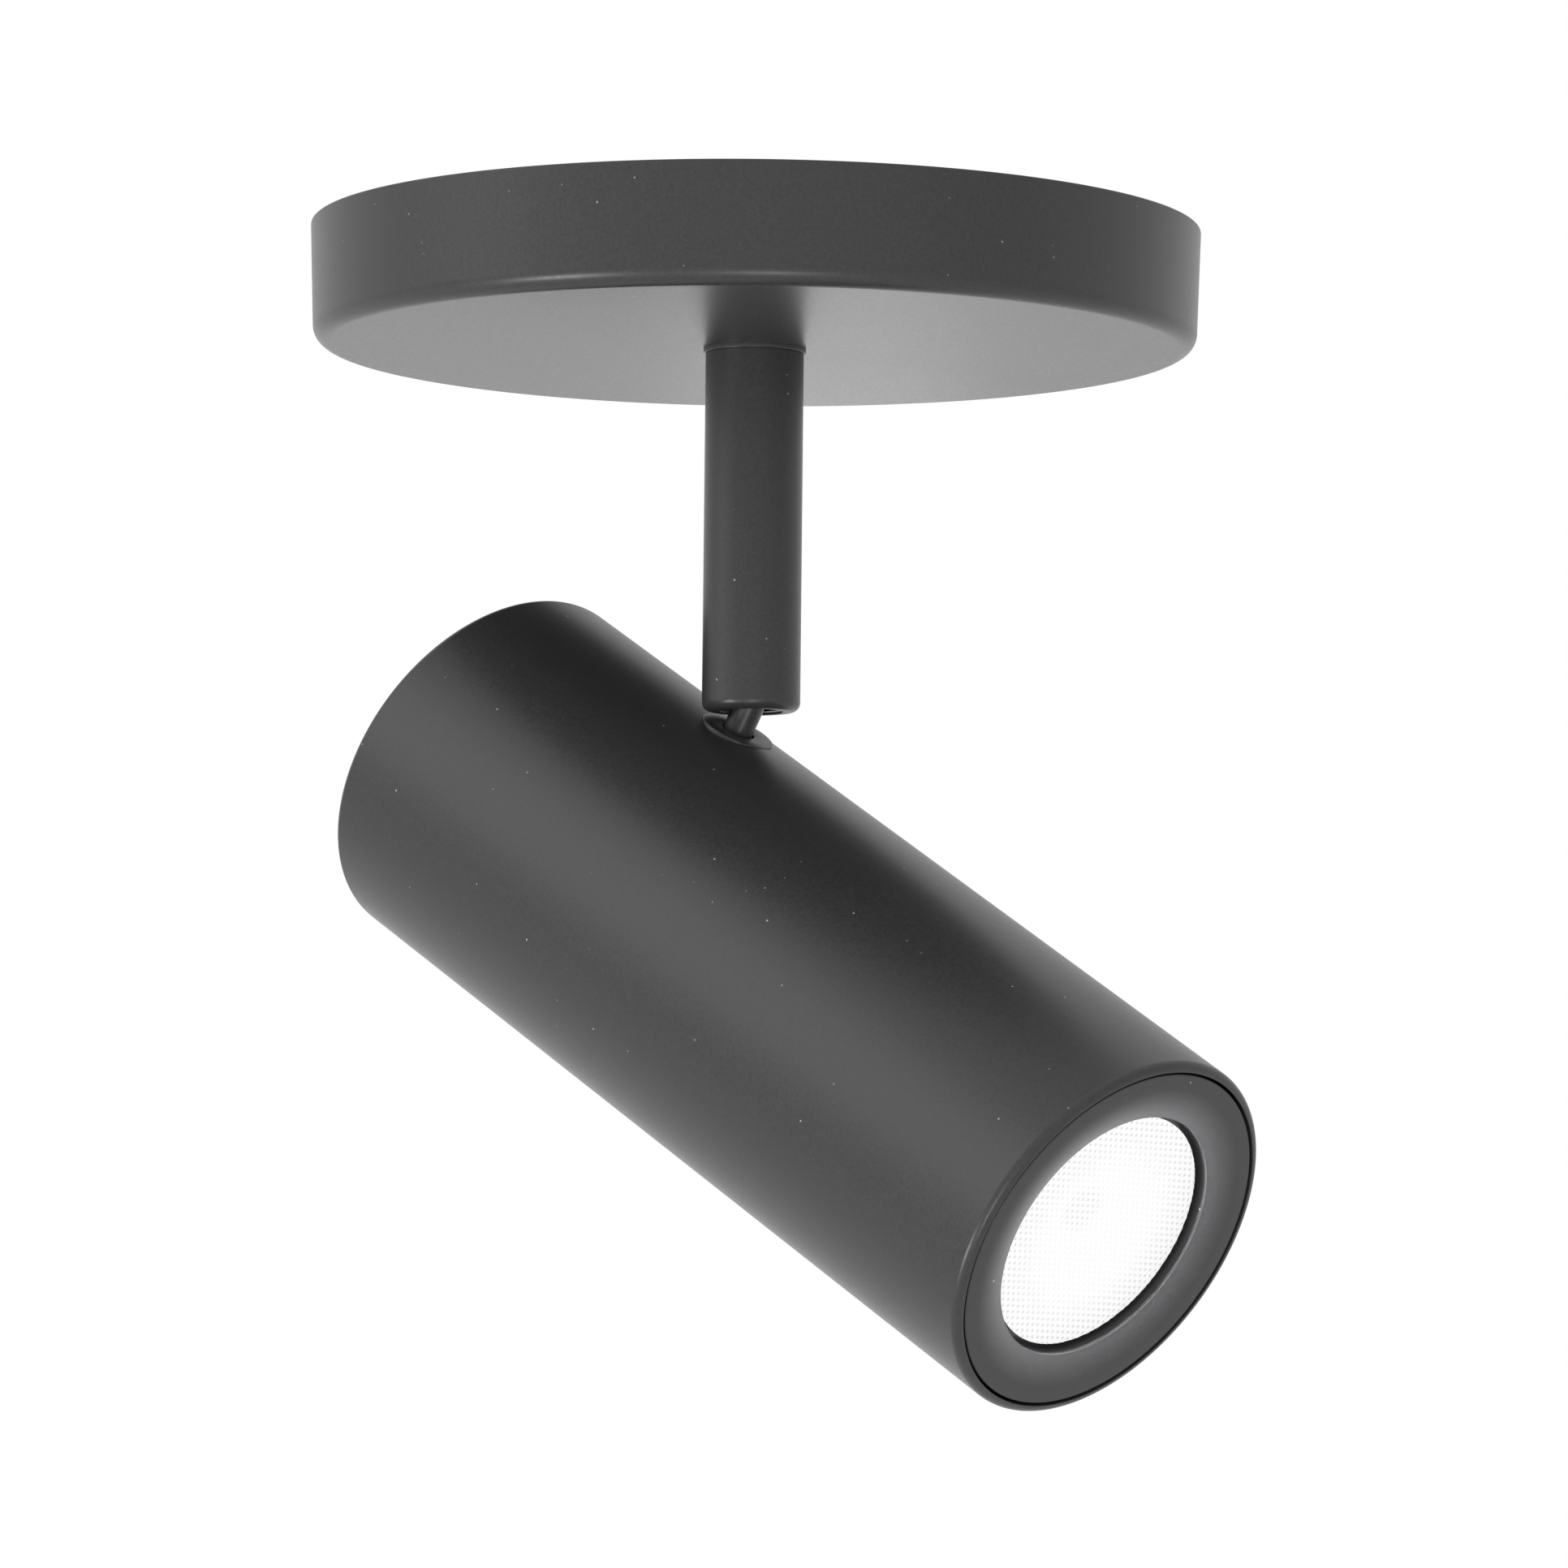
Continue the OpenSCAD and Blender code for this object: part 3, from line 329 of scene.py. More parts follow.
FINISHES = {
    "black_powder_coat": powder_coat,
    **METALS,
    # lacquer on an earth screw: even and glossy
    "green_steel": make_plastic("green_lacquered_steel", "3f8f4d", "337a41", 0.3, 0.42),
    # undyed nylon lets a little light in, which softens its edges
    "white_nylon": make_plastic(
        "natural_nylon", "e6e3d8", "dcd8cb", 0.4, 0.5, Subsurface_Weight=0.1),
    "white_plastic": make_plastic("white_polycarbonate", "efefec", "e6e6e2", 0.35, 0.45),
    # the lacquer on a circuit board is baked and shines
    "white_ceramic": make_plastic("white_solder_mask", "f0f1f2", "e7e8ea", 0.25, 0.35),
    # a spark-eroded mould leaves a coarser, duller grain
    "black_plastic": make_plastic(
        "black_polycarbonate", "333336", "2a2a2d", 0.45, 0.6, grain_mm=0.8, bump_mm=0.015),
    "orange_plastic": make_plastic("orange_polypropylene", "cf6427", "c05a20", 0.35, 0.48),
    # silicone rubber is matt, and a filler makes the thermal pad duller still
    "grey_silicone": make_plastic("grey_silicone", "5b5c60", "505155", 0.6, 0.7),
    "thermal_silicone": make_plastic("thermal_silicone", "8f9aa8", "808b9a", 0.65, 0.75),
    "phosphor": make_plastic("phosphor_in_silicone", "f0cf55", "e3bf42", 0.4, 0.5),
    # extruded PVC on the leads: smooth and a little waxy
    "lead_black": make_plastic("black_pvc", "222224", "1b1b1d", 0.35, 0.45),
    "lead_white": make_plastic("white_pvc", "e9e8e4", "dfded9", 0.35, 0.45),
    "lead_green": make_plastic("green_pvc", "3c8c4b", "327a40", 0.35, 0.45),
    "lead_red": make_plastic("red_pvc", "c23b34", "b0332d", 0.35, 0.45),
}
print("finishes:", len(FINISHES))

# %% [markdown]
# ## Where the head hangs
# The head turns on a pivot 67.5 mm below the ceiling. It is panned by 42 degrees, tilted
# by 31 degrees, and its own axis lies 32.3 mm under the pivot. Pieces of the head are made
# upright on the origin, as on a lathe, and are then laid along the aim with these turns.

# %% Set the places of the head
PIVOT_MM = -67.5
PAN = math.radians(-42)
TILT = math.radians(31)
NECK_MM = 32.3
QUARTER_TURN = math.radians(90)

ALONG_AIM = Matrix.Rotation(QUARTER_TURN, 4, "Y")
HEAD = (
    Matrix.Translation((0, 0, PIVOT_MM * MM))
    @ Matrix.Rotation(PAN, 4, "Z")
    @ Matrix.Rotation(TILT, 4, "Y")
    @ Matrix.Translation((0, 0, -NECK_MM * MM))
)
print("the head's axis points to", [round(v, 3) for v in HEAD.to_3x3() @ Vector((1, 0, 0))])

# %% [markdown]
# ## The pattern of the lens
# The lens is clear acrylic with a honeycomb of tiny prisms, which spreads the light of one
# small chip over the whole opening. The tips of the prisms show as faint grey dots. Three
# waves of cosines, turned by 60 degrees, add up to a peak on every point of such a
# pattern. They are chosen over an image because they lie exactly on the modelled tips.

# %% Add the honeycomb
PRISM_MM = 1.077
PRISM_ROW_MM = PRISM_MM * math.sqrt(3) / 2
WAVE_ANGLES = (90, 30, -30)


def honeycomb(tree, flat):
    """A value that rises to 3 on every tip of the prisms and falls to -1.5 between them."""
    total = 0.0
    for angle in WAVE_ANGLES:
        across = (math.cos(math.radians(angle)), math.sin(math.radians(angle)), 0)
        along = add_node(tree, "ShaderNodeVectorMath", {0: flat, 1: across}, operation="DOT_PRODUCT")
        phase = add_node(tree, "ShaderNodeMath", {
            0: along.outputs["Value"], 1: 2 * math.pi / (PRISM_ROW_MM * MM),
        }, operation="MULTIPLY")
        wave = add_node(tree, "ShaderNodeMath", {0: phase.outputs[0]}, operation="COSINE")
        both = add_node(tree, "ShaderNodeMath", {0: total, 1: wave.outputs[0]}, operation="ADD")
        total = both.outputs[0]
    return total


print("rows of prisms are", round(PRISM_ROW_MM, 3), "mm apart")

# %% [markdown]
# ## The lit lens
# Lit, the lens is almost white all over, so it is a surface that glows by itself: tracing
# light through so many prisms would take very long. The dots grow darker towards the rim
# and over the chip's own image. Only the front of the lens glows. Though the acrylic is
# clear, its side and flange are coloured near black as painted shade, so that the gap round
# it reads; under the glow of the front, a near-black colour keeps it from washing out.

# %% Make the lit lens material
LENS_FACE_MM = 94.35
LENS_R_MM = 17.85
LENS_FRONT_MM = 0.3
LENS_GLOW = 0.885
RIM_FROM_MM = 8
RIM_TO_MM = LENS_R_MM - 1
RIM_SHADE = (0.01, 0.25)
CHIP_SPOT_MM = (-5.5, 3.3)
CHIP_CORE_MM = 2.2
CHIP_EDGE_MM = 4.8
CHIP_SHADE = 0.21
DOT_FROM = 0.6
DOT_TO = 2.5


def dot_depth(tree, flat):
    """How dark the dots are: faint inside, stronger at the rim and over the chip."""
    far_out = add_node(tree, "ShaderNodeVectorMath", {0: flat}, operation="LENGTH")
    rim = add_node(tree, "ShaderNodeMapRange", {
        "Value": far_out.outputs["Value"], "From Min": RIM_FROM_MM * MM,
        "From Max": RIM_TO_MM * MM, "To Min": RIM_SHADE[0], "To Max": RIM_SHADE[1],
    }, interpolation_type="SMOOTHSTEP")
    off_chip = add_node(tree, "ShaderNodeVectorMath", {
        0: flat, 1: (CHIP_SPOT_MM[0] * MM, CHIP_SPOT_MM[1] * MM, 0),
    }, operation="DISTANCE")
    chip = add_node(tree, "ShaderNodeMapRange", {
        "Value": off_chip.outputs["Value"], "From Min": CHIP_CORE_MM * MM,
        "From Max": CHIP_EDGE_MM * MM, "To Min": CHIP_SHADE, "To Max": 0.0,
    }, interpolation_type="SMOOTHSTEP")
    return add_node(tree, "ShaderNodeMath", {
        0: rim.outputs[0], 1: chip.outputs[0],
    }, operation="MAXIMUM").outputs[0]


def make_lens_material():
    material, tree, shader = start_material("prismatic_acrylic_painted_shade_side", "e8eaec", 0.2)
    place = add_node(tree, "ShaderNodeTexCoord").outputs["Object"]
    own = add_node(tree, "ShaderNodeMapping", {
        "Vector": place, "Location": HEAD.translation, "Rotation": HEAD.to_euler(),
    }, vector_type="TEXTURE")
    parts = add_node(tree, "ShaderNodeSeparateXYZ", {"Vector": own.outputs[0]}).outputs
    flat = add_node(tree, "ShaderNodeCombineXYZ", {"X": parts["Y"], "Y": parts["Z"]}).outputs[0]
    front = add_node(tree, "ShaderNodeMath", {
        0: parts["X"], 1: (LENS_FACE_MM - LENS_FRONT_MM) * MM,
    }, operation="GREATER_THAN").outputs[0]
    dot = add_node(tree, "ShaderNodeMapRange", {
        "Value": honeycomb(tree, flat), "From Min": DOT_FROM, "From Max": DOT_TO,
    })
    shade = add_node(tree, "ShaderNodeMath", {
        0: dot.outputs[0], 1: dot_depth(tree, flat),
    }, operation="MULTIPLY")
    lit = add_node(tree, "ShaderNodeMath", {
        0: LENS_GLOW, 1: shade.outputs[0],
    }, operation="SUBTRACT")
    glow = add_node(tree, "ShaderNodeMath", {0: lit.outputs[0], 1: front}, operation="MULTIPLY")
    # near-black colours: painted shade on the clear side and flange, a dark base under the front's
    # glow
    colour = add_node(tree, "ShaderNodeMix", {
        FACTOR: front, COLOUR_A: srgb("202123"), COLOUR_B: srgb("2c2d2e"),
    }, data_type="RGBA")
    tree.links.new(colour.outputs[COLOUR_OUT], shader.inputs["Base Color"])
    shader.inputs["Emission Color"].default_value = srgb("ffffff")
    tree.links.new(glow.outputs[0], shader.inputs["Emission Strength"])
    return material


FINISHES["clear_prismatic"] = make_lens_material()
print("made", FINISHES["clear_prismatic"].name)

# %% [markdown]
# ## Dress the model
# The model's record says which finish each part has. The parts inside the head stay as they
# are, and are done with this step.

# %% Dress every part
SLOT_OF = {part["node"]: part["material_slot"] for part in frame["record"]["subparts"]}
for node, obj in nodes.items():
    obj.data.materials.clear()
    obj.data.materials.append(FINISHES[SLOT_OF[node]])
print("parts dressed:", len(nodes))

# %% [markdown]
# ## Selecting and cleaning
# Operators act on whatever is selected, so each step selects its one piece first. A shape
# that is drawn out ends with doubled points, which are merged before its faces are turned
# outwards.

# %% Select and clean a piece
WELD_MM = 0.002


def deselect():
    """Leaves edit mode and selects nothing."""
    if bpy.context.object and bpy.context.object.mode == "EDIT":
        bpy.ops.object.mode_set(mode="OBJECT")
    bpy.ops.object.select_all(action="DESELECT")


def activate(piece):
    """Makes one piece the only one that operators act on."""
    deselect()
    piece.select_set(True)
    bpy.context.view_layer.objects.active = piece


def edit(piece, kind=None, action="SELECT"):
    """Opens one piece in edit mode, with all or nothing of it selected."""
    activate(piece)
    bpy.ops.object.mode_set(mode="EDIT")
    if kind:
        bpy.ops.mesh.select_mode(type=kind)
    bpy.ops.mesh.select_all(action=action)


def clean_up(piece):
    """Merges doubled points and turns all faces outwards."""
    edit(piece)
    bpy.ops.mesh.remove_doubles(threshold=WELD_MM * MM)
    bpy.ops.mesh.normals_make_consistent(inside=False)
    bpy.ops.object.mode_set(mode="OBJECT")


print("merging points within", WELD_MM, "mm")

# %% [markdown]
# ## A lathe in edit mode
# Nearly every outside piece of this light is turned, spun or drawn round. The helper below
# works like a lathe: it starts from a circle of edges, draws it out from corner to corner
# of the section, and closes the skin. A spin would do as well, but this way every ring has
# a radius and a height in millimetres, as on a drawing.

# %% Set up the lathe
SIDES = 192
WIDE_SIDES = 256


def lathe(name, corners, sides=SIDES):
    """Draws a ring of edges out through (radius, height) corners in mm."""
    deselect()
    radius, height = corners[0]
    bpy.ops.mesh.primitive_circle_add(
        vertices=sides, radius=radius * MM, location=(0, 0, height * MM))
    piece = bpy.context.object
    piece.name = name
    bpy.ops.object.transform_apply()
    edit(piece, "EDGE")
    for (radius, height), (next_radius, next_height) in zip(corners, corners[1:]):
        rise = (0, 0, (next_height - height) * MM)
        bpy.ops.mesh.extrude_edges_move(TRANSFORM_OT_translate={"value": rise})
        share = next_radius / radius
        bpy.ops.transform.resize(value=(share, share, 1), center_override=(0, 0, 0))
    clean_up(piece)
    return piece


print("sides:", SIDES, "or", WIDE_SIDES)

# %% [markdown]
# ## Rounding corners
# A coated edge is never sharp, and it is the edge that catches the light. Corners are
# rounded ring by ring: the edges of one ring are picked by their radius and height, and a
# bevel rounds them. A bevel by angle would be quicker, but it would give every corner the
# same bend.

# %% Pick and round a ring
RING_NEAR_MM = 0.01


def pick(piece, kind, wanted):
    """Selects in edit mode the edges or faces whose points, in mm, all pass a test."""
    edit(piece, "EDGE" if kind == "edges" else "FACE", "DESELECT")
    mesh = bmesh.from_edit_mesh(piece.data)
    count = 0
    for part in getattr(mesh, kind):
        if all(wanted(point.co / MM) for point in part.verts):
            part.select_set(True)
            count += 1
    bmesh.update_edit_mesh(piece.data)
    return count


def pick_ring(piece, radius, height):
    """Selects the ring of edges at this radius and height."""
    def on_ring(point):
        off_radius = abs(math.hypot(point.x, point.y) - radius)
        return off_radius < RING_NEAR_MM and abs(point.z - height) < RING_NEAR_MM

    assert pick(piece, "edges", on_ring), (piece.name, radius, height)


def round_ring(piece, radius, height, bend_mm, segments=8):
    """Rounds the corner that runs round at this radius and height."""
    pick_ring(piece, radius, height)
    bpy.ops.mesh.bevel(offset=bend_mm * MM, segments=segments, affect="EDGES")
    bpy.ops.object.mode_set(mode="OBJECT")


print("rings found to within", RING_NEAR_MM, "mm")

# %% [markdown]
# ## Drilling and finishing
# A hole is drilled: a rod of its size is taken out of the piece. A finished piece is shaded
# smooth except at its sharp edges, gets its finish, rides on its body, and takes the place
# of its CAD part.

# %% Drill and dress a piece
def apply_modifier(piece, kind, **settings):
    """Adds a modifier with its settings and applies it."""
    activate(piece)
    bpy.ops.object.modifier_add(type=kind)
    modifier = piece.modifiers[-1]
    for name, value in settings.items():
        setattr(modifier, name, value)
    bpy.ops.object.modifier_apply(modifier=modifier.name)


def rod(radius, start, end, sides=64):
    """A round bar from one point to another, in mm, to cut with."""
    start, end = Vector(start) * MM, Vector(end) * MM
    deselect()
    bpy.ops.mesh.primitive_cylinder_add(
        vertices=sides, radius=radius * MM, depth=(end - start).length,
        location=(start + end) / 2, rotation=(end - start).to_track_quat("Z", "Y").to_euler(),
    )
    bpy.ops.object.transform_apply()
    return bpy.context.object


def cut(piece, tool, operation="DIFFERENCE"):
    """Cuts a piece with a tool's shape, and throws the tool away."""
    apply_modifier(piece, "BOOLEAN", operation=operation, solver="EXACT", object=tool)
    bpy.data.objects.remove(tool)


def dress(piece, body, node, smooth_to=30):
    """Smooths a finished piece, gives it its material and lets it stand for a CAD node."""
    activate(piece)
    bpy.ops.object.shade_smooth_by_angle(angle=math.radians(smooth_to))
    apply_modifier(piece, "WEIGHTED_NORMAL", keep_sharp=True)
    slot = SLOT_OF[node]
    piece.data.materials.clear()
    piece.data.materials.append(FINISHES[slot])
    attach(piece, body)
    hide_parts(node)
    print(piece.name, "faces:", len(piece.data.polygons))
    return piece


print("finishes ready:", len(FINISHES))

# %% [markdown]
# ## Canopy
# The canopy is a shallow cup pressed from steel sheet. A press needs a little draft, so its
# wall leans in by half a millimetre, and the sheet bends round a 2.3 mm corner at the
# bottom. The rim against the ceiling is cut and only has its burr broken. Both skins are
# turned in one go, which gives the rim its own flat edge.

# %% Press the canopy
CANOPY_R_MM = 63.5
CANOPY_FOOT_R_MM = 62.95
CANOPY_DEEP_MM = -17.0
SHEET_MM = 1.2
INNER_DRAFT_MM = 0.51
CANOPY_BEND_MM = 2.3
BURR_MM = 0.25
NIPPLE_HOLE_R_MM = 4.15
SIDE_HOLE_R_MM = 2.15
SIDE_HOLE_MM = -8.5
DRILL_REACH_MM = 66


def make_canopy():
    floor = CANOPY_DEEP_MM + SHEET_MM
    inner_rim = CANOPY_R_MM - SHEET_MM
    inner_foot = inner_rim - INNER_DRAFT_MM
    canopy = lathe("canopy", [
        (NIPPLE_HOLE_R_MM, CANOPY_DEEP_MM), (CANOPY_FOOT_R_MM, CANOPY_DEEP_MM),
        (CANOPY_R_MM, 0), (inner_rim, 0), (inner_foot, floor),
        (NIPPLE_HOLE_R_MM, floor), (NIPPLE_HOLE_R_MM, CANOPY_DEEP_MM),
    ], WIDE_SIDES)
    round_ring(canopy, CANOPY_FOOT_R_MM, CANOPY_DEEP_MM, CANOPY_BEND_MM, segments=12)
    round_ring(canopy, inner_foot, floor, CANOPY_BEND_MM - SHEET_MM)
    round_ring(canopy, CANOPY_R_MM, 0, BURR_MM, segments=3)
    round_ring(canopy, inner_rim, 0, BURR_MM, segments=3)
    side_to_side = (-DRILL_REACH_MM, 0, SIDE_HOLE_MM), (DRILL_REACH_MM, 0, SIDE_HOLE_MM)
    cut(canopy, rod(SIDE_HOLE_R_MM, *side_to_side))
    return dress(canopy, "canopy", "canopy_shell")


canopy = make_canopy()

# %% [markdown]
# ## Stem
# The stem is a tube whose lower end is rolled in to a lip, which carries the swivel. A thin
# collar separates it from the canopy, so a fine shadow line shows there. A small screw in
# its rear stops the turning head before its leads twist. The tube is turned with its lip,
# and the screw's hole is drilled from the rear.

# %% Turn the stem and its collar
STEM_R_MM = 7
STEM_BORE_R_MM = 5.8
STEM_MOUTH_R_MM = 4.4
STEM_TOP_MM = -17.7
STEM_FOOT_MM = -69.0
STEM_LIP_MM = STEM_FOOT_MM + 1.4
STEM_BEND_MM = 1.3
STOP_SCREW_MM = -59.9
STOP_SCREW_R_MM = 1.53
STEM_COLLAR_R_MM = 7.3


def make_stem():
    stem = lathe("stem", [
        (STEM_R_MM, STEM_TOP_MM), (STEM_R_MM, STEM_FOOT_MM), (STEM_MOUTH_R_MM, STEM_FOOT_MM),
        (STEM_MOUTH_R_MM, STEM_LIP_MM), (STEM_BORE_R_MM, STEM_LIP_MM),
        (STEM_BORE_R_MM, STEM_TOP_MM), (STEM_R_MM, STEM_TOP_MM),
    ])
    round_ring(stem, STEM_R_MM, STEM_FOOT_MM, STEM_BEND_MM)
    round_ring(stem, STEM_MOUTH_R_MM, STEM_FOOT_MM, bend_mm=0.2, segments=4)
    round_ring(stem, STEM_R_MM, STEM_TOP_MM, bend_mm=0.1, segments=3)
    # from inside the bore to behind the stem
    cut(stem, rod(STOP_SCREW_R_MM, (0, 4, STOP_SCREW_MM), (0, 9, STOP_SCREW_MM)))
    return dress(stem, "canopy", "stem_tube")


def make_stem_collar():
    collar = lathe("collar_of_stem", [
        (NIPPLE_HOLE_R_MM, STEM_TOP_MM), (STEM_COLLAR_R_MM, STEM_TOP_MM),
        (STEM_COLLAR_R_MM, CANOPY_DEEP_MM), (NIPPLE_HOLE_R_MM, CANOPY_DEEP_MM),
        (NIPPLE_HOLE_R_MM, STEM_TOP_MM),
    ])
    round_ring(collar, STEM_COLLAR_R_MM, STEM_TOP_MM, bend_mm=0.12, segments=3)
    return dress(collar, "canopy", "stem_collar")


make_stem()
make_stem_collar()

# %% [markdown]
# ## Neck
# The neck is a slim hollow post that carries the head and lets the leads through. Its top
# is a ball that turns between the cheeks of the swivel. The ball is part of the turned
# section, so that no seam shows where it meets the post.

# %% Turn the neck
NECK_R_MM = 2.2
NECK_BORE_R_MM = 1.2
NECK_FOOT_MM = 27.5
NECK_SIDES = 96
SHOULDER_R_MM = 1.95
SHOULDER_MM = 27.25
SPIGOT_R_MM = 1.8
SPIGOT_FOOT_MM = 20.86
PIN_HOLE_R_MM = 0.85
BALL_STEPS = 10


def move_mesh(piece, matrix):
    """Moves the mesh by a matrix and leaves the object at the origin."""
    activate(piece)
    piece.matrix_world = matrix @ piece.matrix_world
    bpy.ops.object.transform_apply()


def make_neck():
    top_angle = math.acos(NECK_BORE_R_MM / NECK_R_MM)
    angles = [top_angle * i / BALL_STEPS for i in range(BALL_STEPS + 1)]
    ball = [(NECK_R_MM * math.cos(a), NECK_MM + NECK_R_MM * math.sin(a)) for a in angles]
    neck = lathe("neck", [
        (NECK_BORE_R_MM, SPIGOT_FOOT_MM), (SPIGOT_R_MM, SPIGOT_FOOT_MM),
        (SPIGOT_R_MM, SHOULDER_MM), (SHOULDER_R_MM, SHOULDER_MM), (NECK_R_MM, NECK_FOOT_MM),
        *ball, (NECK_BORE_R_MM, SPIGOT_FOOT_MM),
    ], NECK_SIDES)
    # right through the ball, for the two pins of the swivel
    cut(neck, rod(PIN_HOLE_R_MM, (0, -4, NECK_MM), (0, 4, NECK_MM), 32))
    move_mesh(neck, HEAD)
    return dress(neck, "head", "neck_post")


make_neck()

# %% [markdown]
# ## Collar of the neck
# The neck stands in a flat collar, which lies on a small spot face that a cutter made on
# the round tube. A shallow cup is turned in it, and shows as a fine ring round the post.

# %% Turn the collar of the neck
SPOT_FACE_MM = 26.895
SPIGOT_HOLE_R_MM = 1.83
NECK_COLLAR_R_MM = 5.4
NECK_COLLAR_TOP_MM = 27.6
COLLAR_CUP_R_MM = 2.5
COLLAR_CUP_MM = 27.22


def make_neck_collar():
    collar = lathe("collar_of_neck", [
        (SPIGOT_HOLE_R_MM, SPOT_FACE_MM), (NECK_COLLAR_R_MM, SPOT_FACE_MM),
        (NECK_COLLAR_R_MM, NECK_COLLAR_TOP_MM), (COLLAR_CUP_R_MM, NECK_COLLAR_TOP_MM),
        (COLLAR_CUP_R_MM, COLLAR_CUP_MM), (SPIGOT_HOLE_R_MM, COLLAR_CUP_MM),
        (SPIGOT_HOLE_R_MM, SPOT_FACE_MM),
    ])
    round_ring(collar, NECK_COLLAR_R_MM, NECK_COLLAR_TOP_MM, bend_mm=0.15, segments=4)
    round_ring(collar, COLLAR_CUP_R_MM, NECK_COLLAR_TOP_MM, bend_mm=0.08, segments=3)
    move_mesh(collar, HEAD)
    return dress(collar, "head", "neck_collar")


make_neck_collar()

# %% [markdown]
# ## Head tube
# The head is a length of aluminium tube with both ends rounded over. It is turned first,
# then laid along the aim, and then the spot face and the hole for the neck are cut. The
# cutter is a hair wider than the collar, and this leaves the dark line round it.

# %% Turn the head tube
TUBE_R_MM = 27.5
TUBE_BORE_R_MM = 26.2
TUBE_BACK_MM = -41.3
TUBE_FRONT_MM = 96.9
TUBE_BEND_MM = 1.2
SPOT_FACE_R_MM = 5.43
INSIDE_TUBE_MM = 20
OUTSIDE_TUBE_MM = 30


def make_tube():
    tube = lathe("head_tube", [
        (TUBE_R_MM, TUBE_BACK_MM), (TUBE_R_MM, TUBE_FRONT_MM),
        (TUBE_BORE_R_MM, TUBE_FRONT_MM), (TUBE_BORE_R_MM, TUBE_BACK_MM),
        (TUBE_R_MM, TUBE_BACK_MM),
    ], WIDE_SIDES)
    round_ring(tube, TUBE_R_MM, TUBE_FRONT_MM, TUBE_BEND_MM, segments=10)
    round_ring(tube, TUBE_R_MM, TUBE_BACK_MM, TUBE_BEND_MM, segments=10)
    move_mesh(tube, ALONG_AIM)
    above = (0, 0, OUTSIDE_TUBE_MM)
    cut(tube, rod(SPOT_FACE_R_MM, (0, 0, SPOT_FACE_MM), above, NECK_SIDES))
    cut(tube, rod(SPIGOT_HOLE_R_MM, (0, 0, INSIDE_TUBE_MM), above))
    move_mesh(tube, HEAD)
    return dress(tube, "head", "housing_tube")


make_tube()

# %% [markdown]
# ## Rear cap
# A shallow cap closes the back. It sits just inside the rounded edge of the tube, with a
# skirt that grips the bore, so its seam shows as a thin ring. The lathe leaves its outside
# open, and one flat face closes it.

# %% Turn the rear cap
CAP_R_MM = 25.8
CAP_BACK_MM = -40.5
CAP_FRONT_MM = -34.5
CAP_INNER_R_MM = 24.4
CAP_INNER_MM = -38.9
CAP_BEND_MM = 0.4


def close_ring(piece, radius, height):
    """Closes an open end with one flat face."""
    pick_ring(piece, radius, height)
    bpy.ops.mesh.edge_face_add()
    bpy.ops.object.mode_set(mode="OBJECT")
    clean_up(piece)


def make_rear_cap():
    cap = lathe("cap_of_rear", [
        (CAP_R_MM, CAP_BACK_MM), (CAP_R_MM, CAP_FRONT_MM), (CAP_INNER_R_MM, CAP_FRONT_MM),
        (CAP_INNER_R_MM, CAP_INNER_MM), (0, CAP_INNER_MM),
    ], WIDE_SIDES)
    close_ring(cap, CAP_R_MM, CAP_BACK_MM)
    round_ring(cap, CAP_R_MM, CAP_BACK_MM, CAP_BEND_MM, segments=6)
    move_mesh(cap, HEAD @ ALONG_AIM)
    return dress(cap, "head", "rear_cap")


make_rear_cap()

# %% [markdown]
# ## Trim ring
# The ring round the opening is turned from bar. Its face is flat at the rim and then sinks
# in a shallow dish to a sharp edge at the opening. Light from the lens runs up this dish,
# which is why it is paler towards the middle. The dish is a parabola in small steps, so
# that it leaves the flat rim without a line.

# %% Turn the trim ring
TRIM_R_MM = 25.8
TRIM_FACE_MM = 96.8
TRIM_BACK_MM = 83.7
TRIM_SEAT_R_MM = 24.4
TRIM_SEAT_MM = 93.7
OPENING_R_MM = 18.65
DISH_R_MM = 24.2
DISH_DEEP_MM = 0.95
DISH_STEPS = 18


def make_trim():
    shares = [i / DISH_STEPS for i in range(DISH_STEPS + 1)]
    dish = [
        (DISH_R_MM - (DISH_R_MM - OPENING_R_MM) * share, TRIM_FACE_MM - DISH_DEEP_MM * share ** 2)
        for share in shares
    ]
    ring = lathe("trim_of_front", [
        (TRIM_R_MM, TRIM_BACK_MM), (TRIM_R_MM, TRIM_FACE_MM), *dish,
        (OPENING_R_MM, TRIM_SEAT_MM), (TRIM_SEAT_R_MM, TRIM_SEAT_MM),
        (TRIM_SEAT_R_MM, TRIM_BACK_MM), (TRIM_R_MM, TRIM_BACK_MM),
    ], WIDE_SIDES)
    round_ring(ring, TRIM_R_MM, TRIM_FACE_MM, bend_mm=0.2, segments=4)
    move_mesh(ring, HEAD @ ALONG_AIM)
    return dress(ring, "head", "trim_ring")


trim = make_trim()

# %% [markdown]
# ## Prismatic lens
# The front of the lens is a honeycomb of low six-sided prisms, about a millimetre apart.
# One hexagon is poked so that its middle rises, and arrays lay it out in a row, add the
# staggered second row and repeat the pair. So one prism is modelled, and every tip lands
# where the pattern of dots expects it.

# %% Lay out the prisms
PRISM_HIGH_MM = 0.1


def repeat(piece, count, x_mm, y_mm):
    """Repeats a piece at even steps."""
    step = (x_mm * MM, y_mm * MM, 0)
    apply_modifier(
        piece, "ARRAY", count=count, use_relative_offset=False,
        use_constant_offset=True, constant_offset_displace=step,
    )


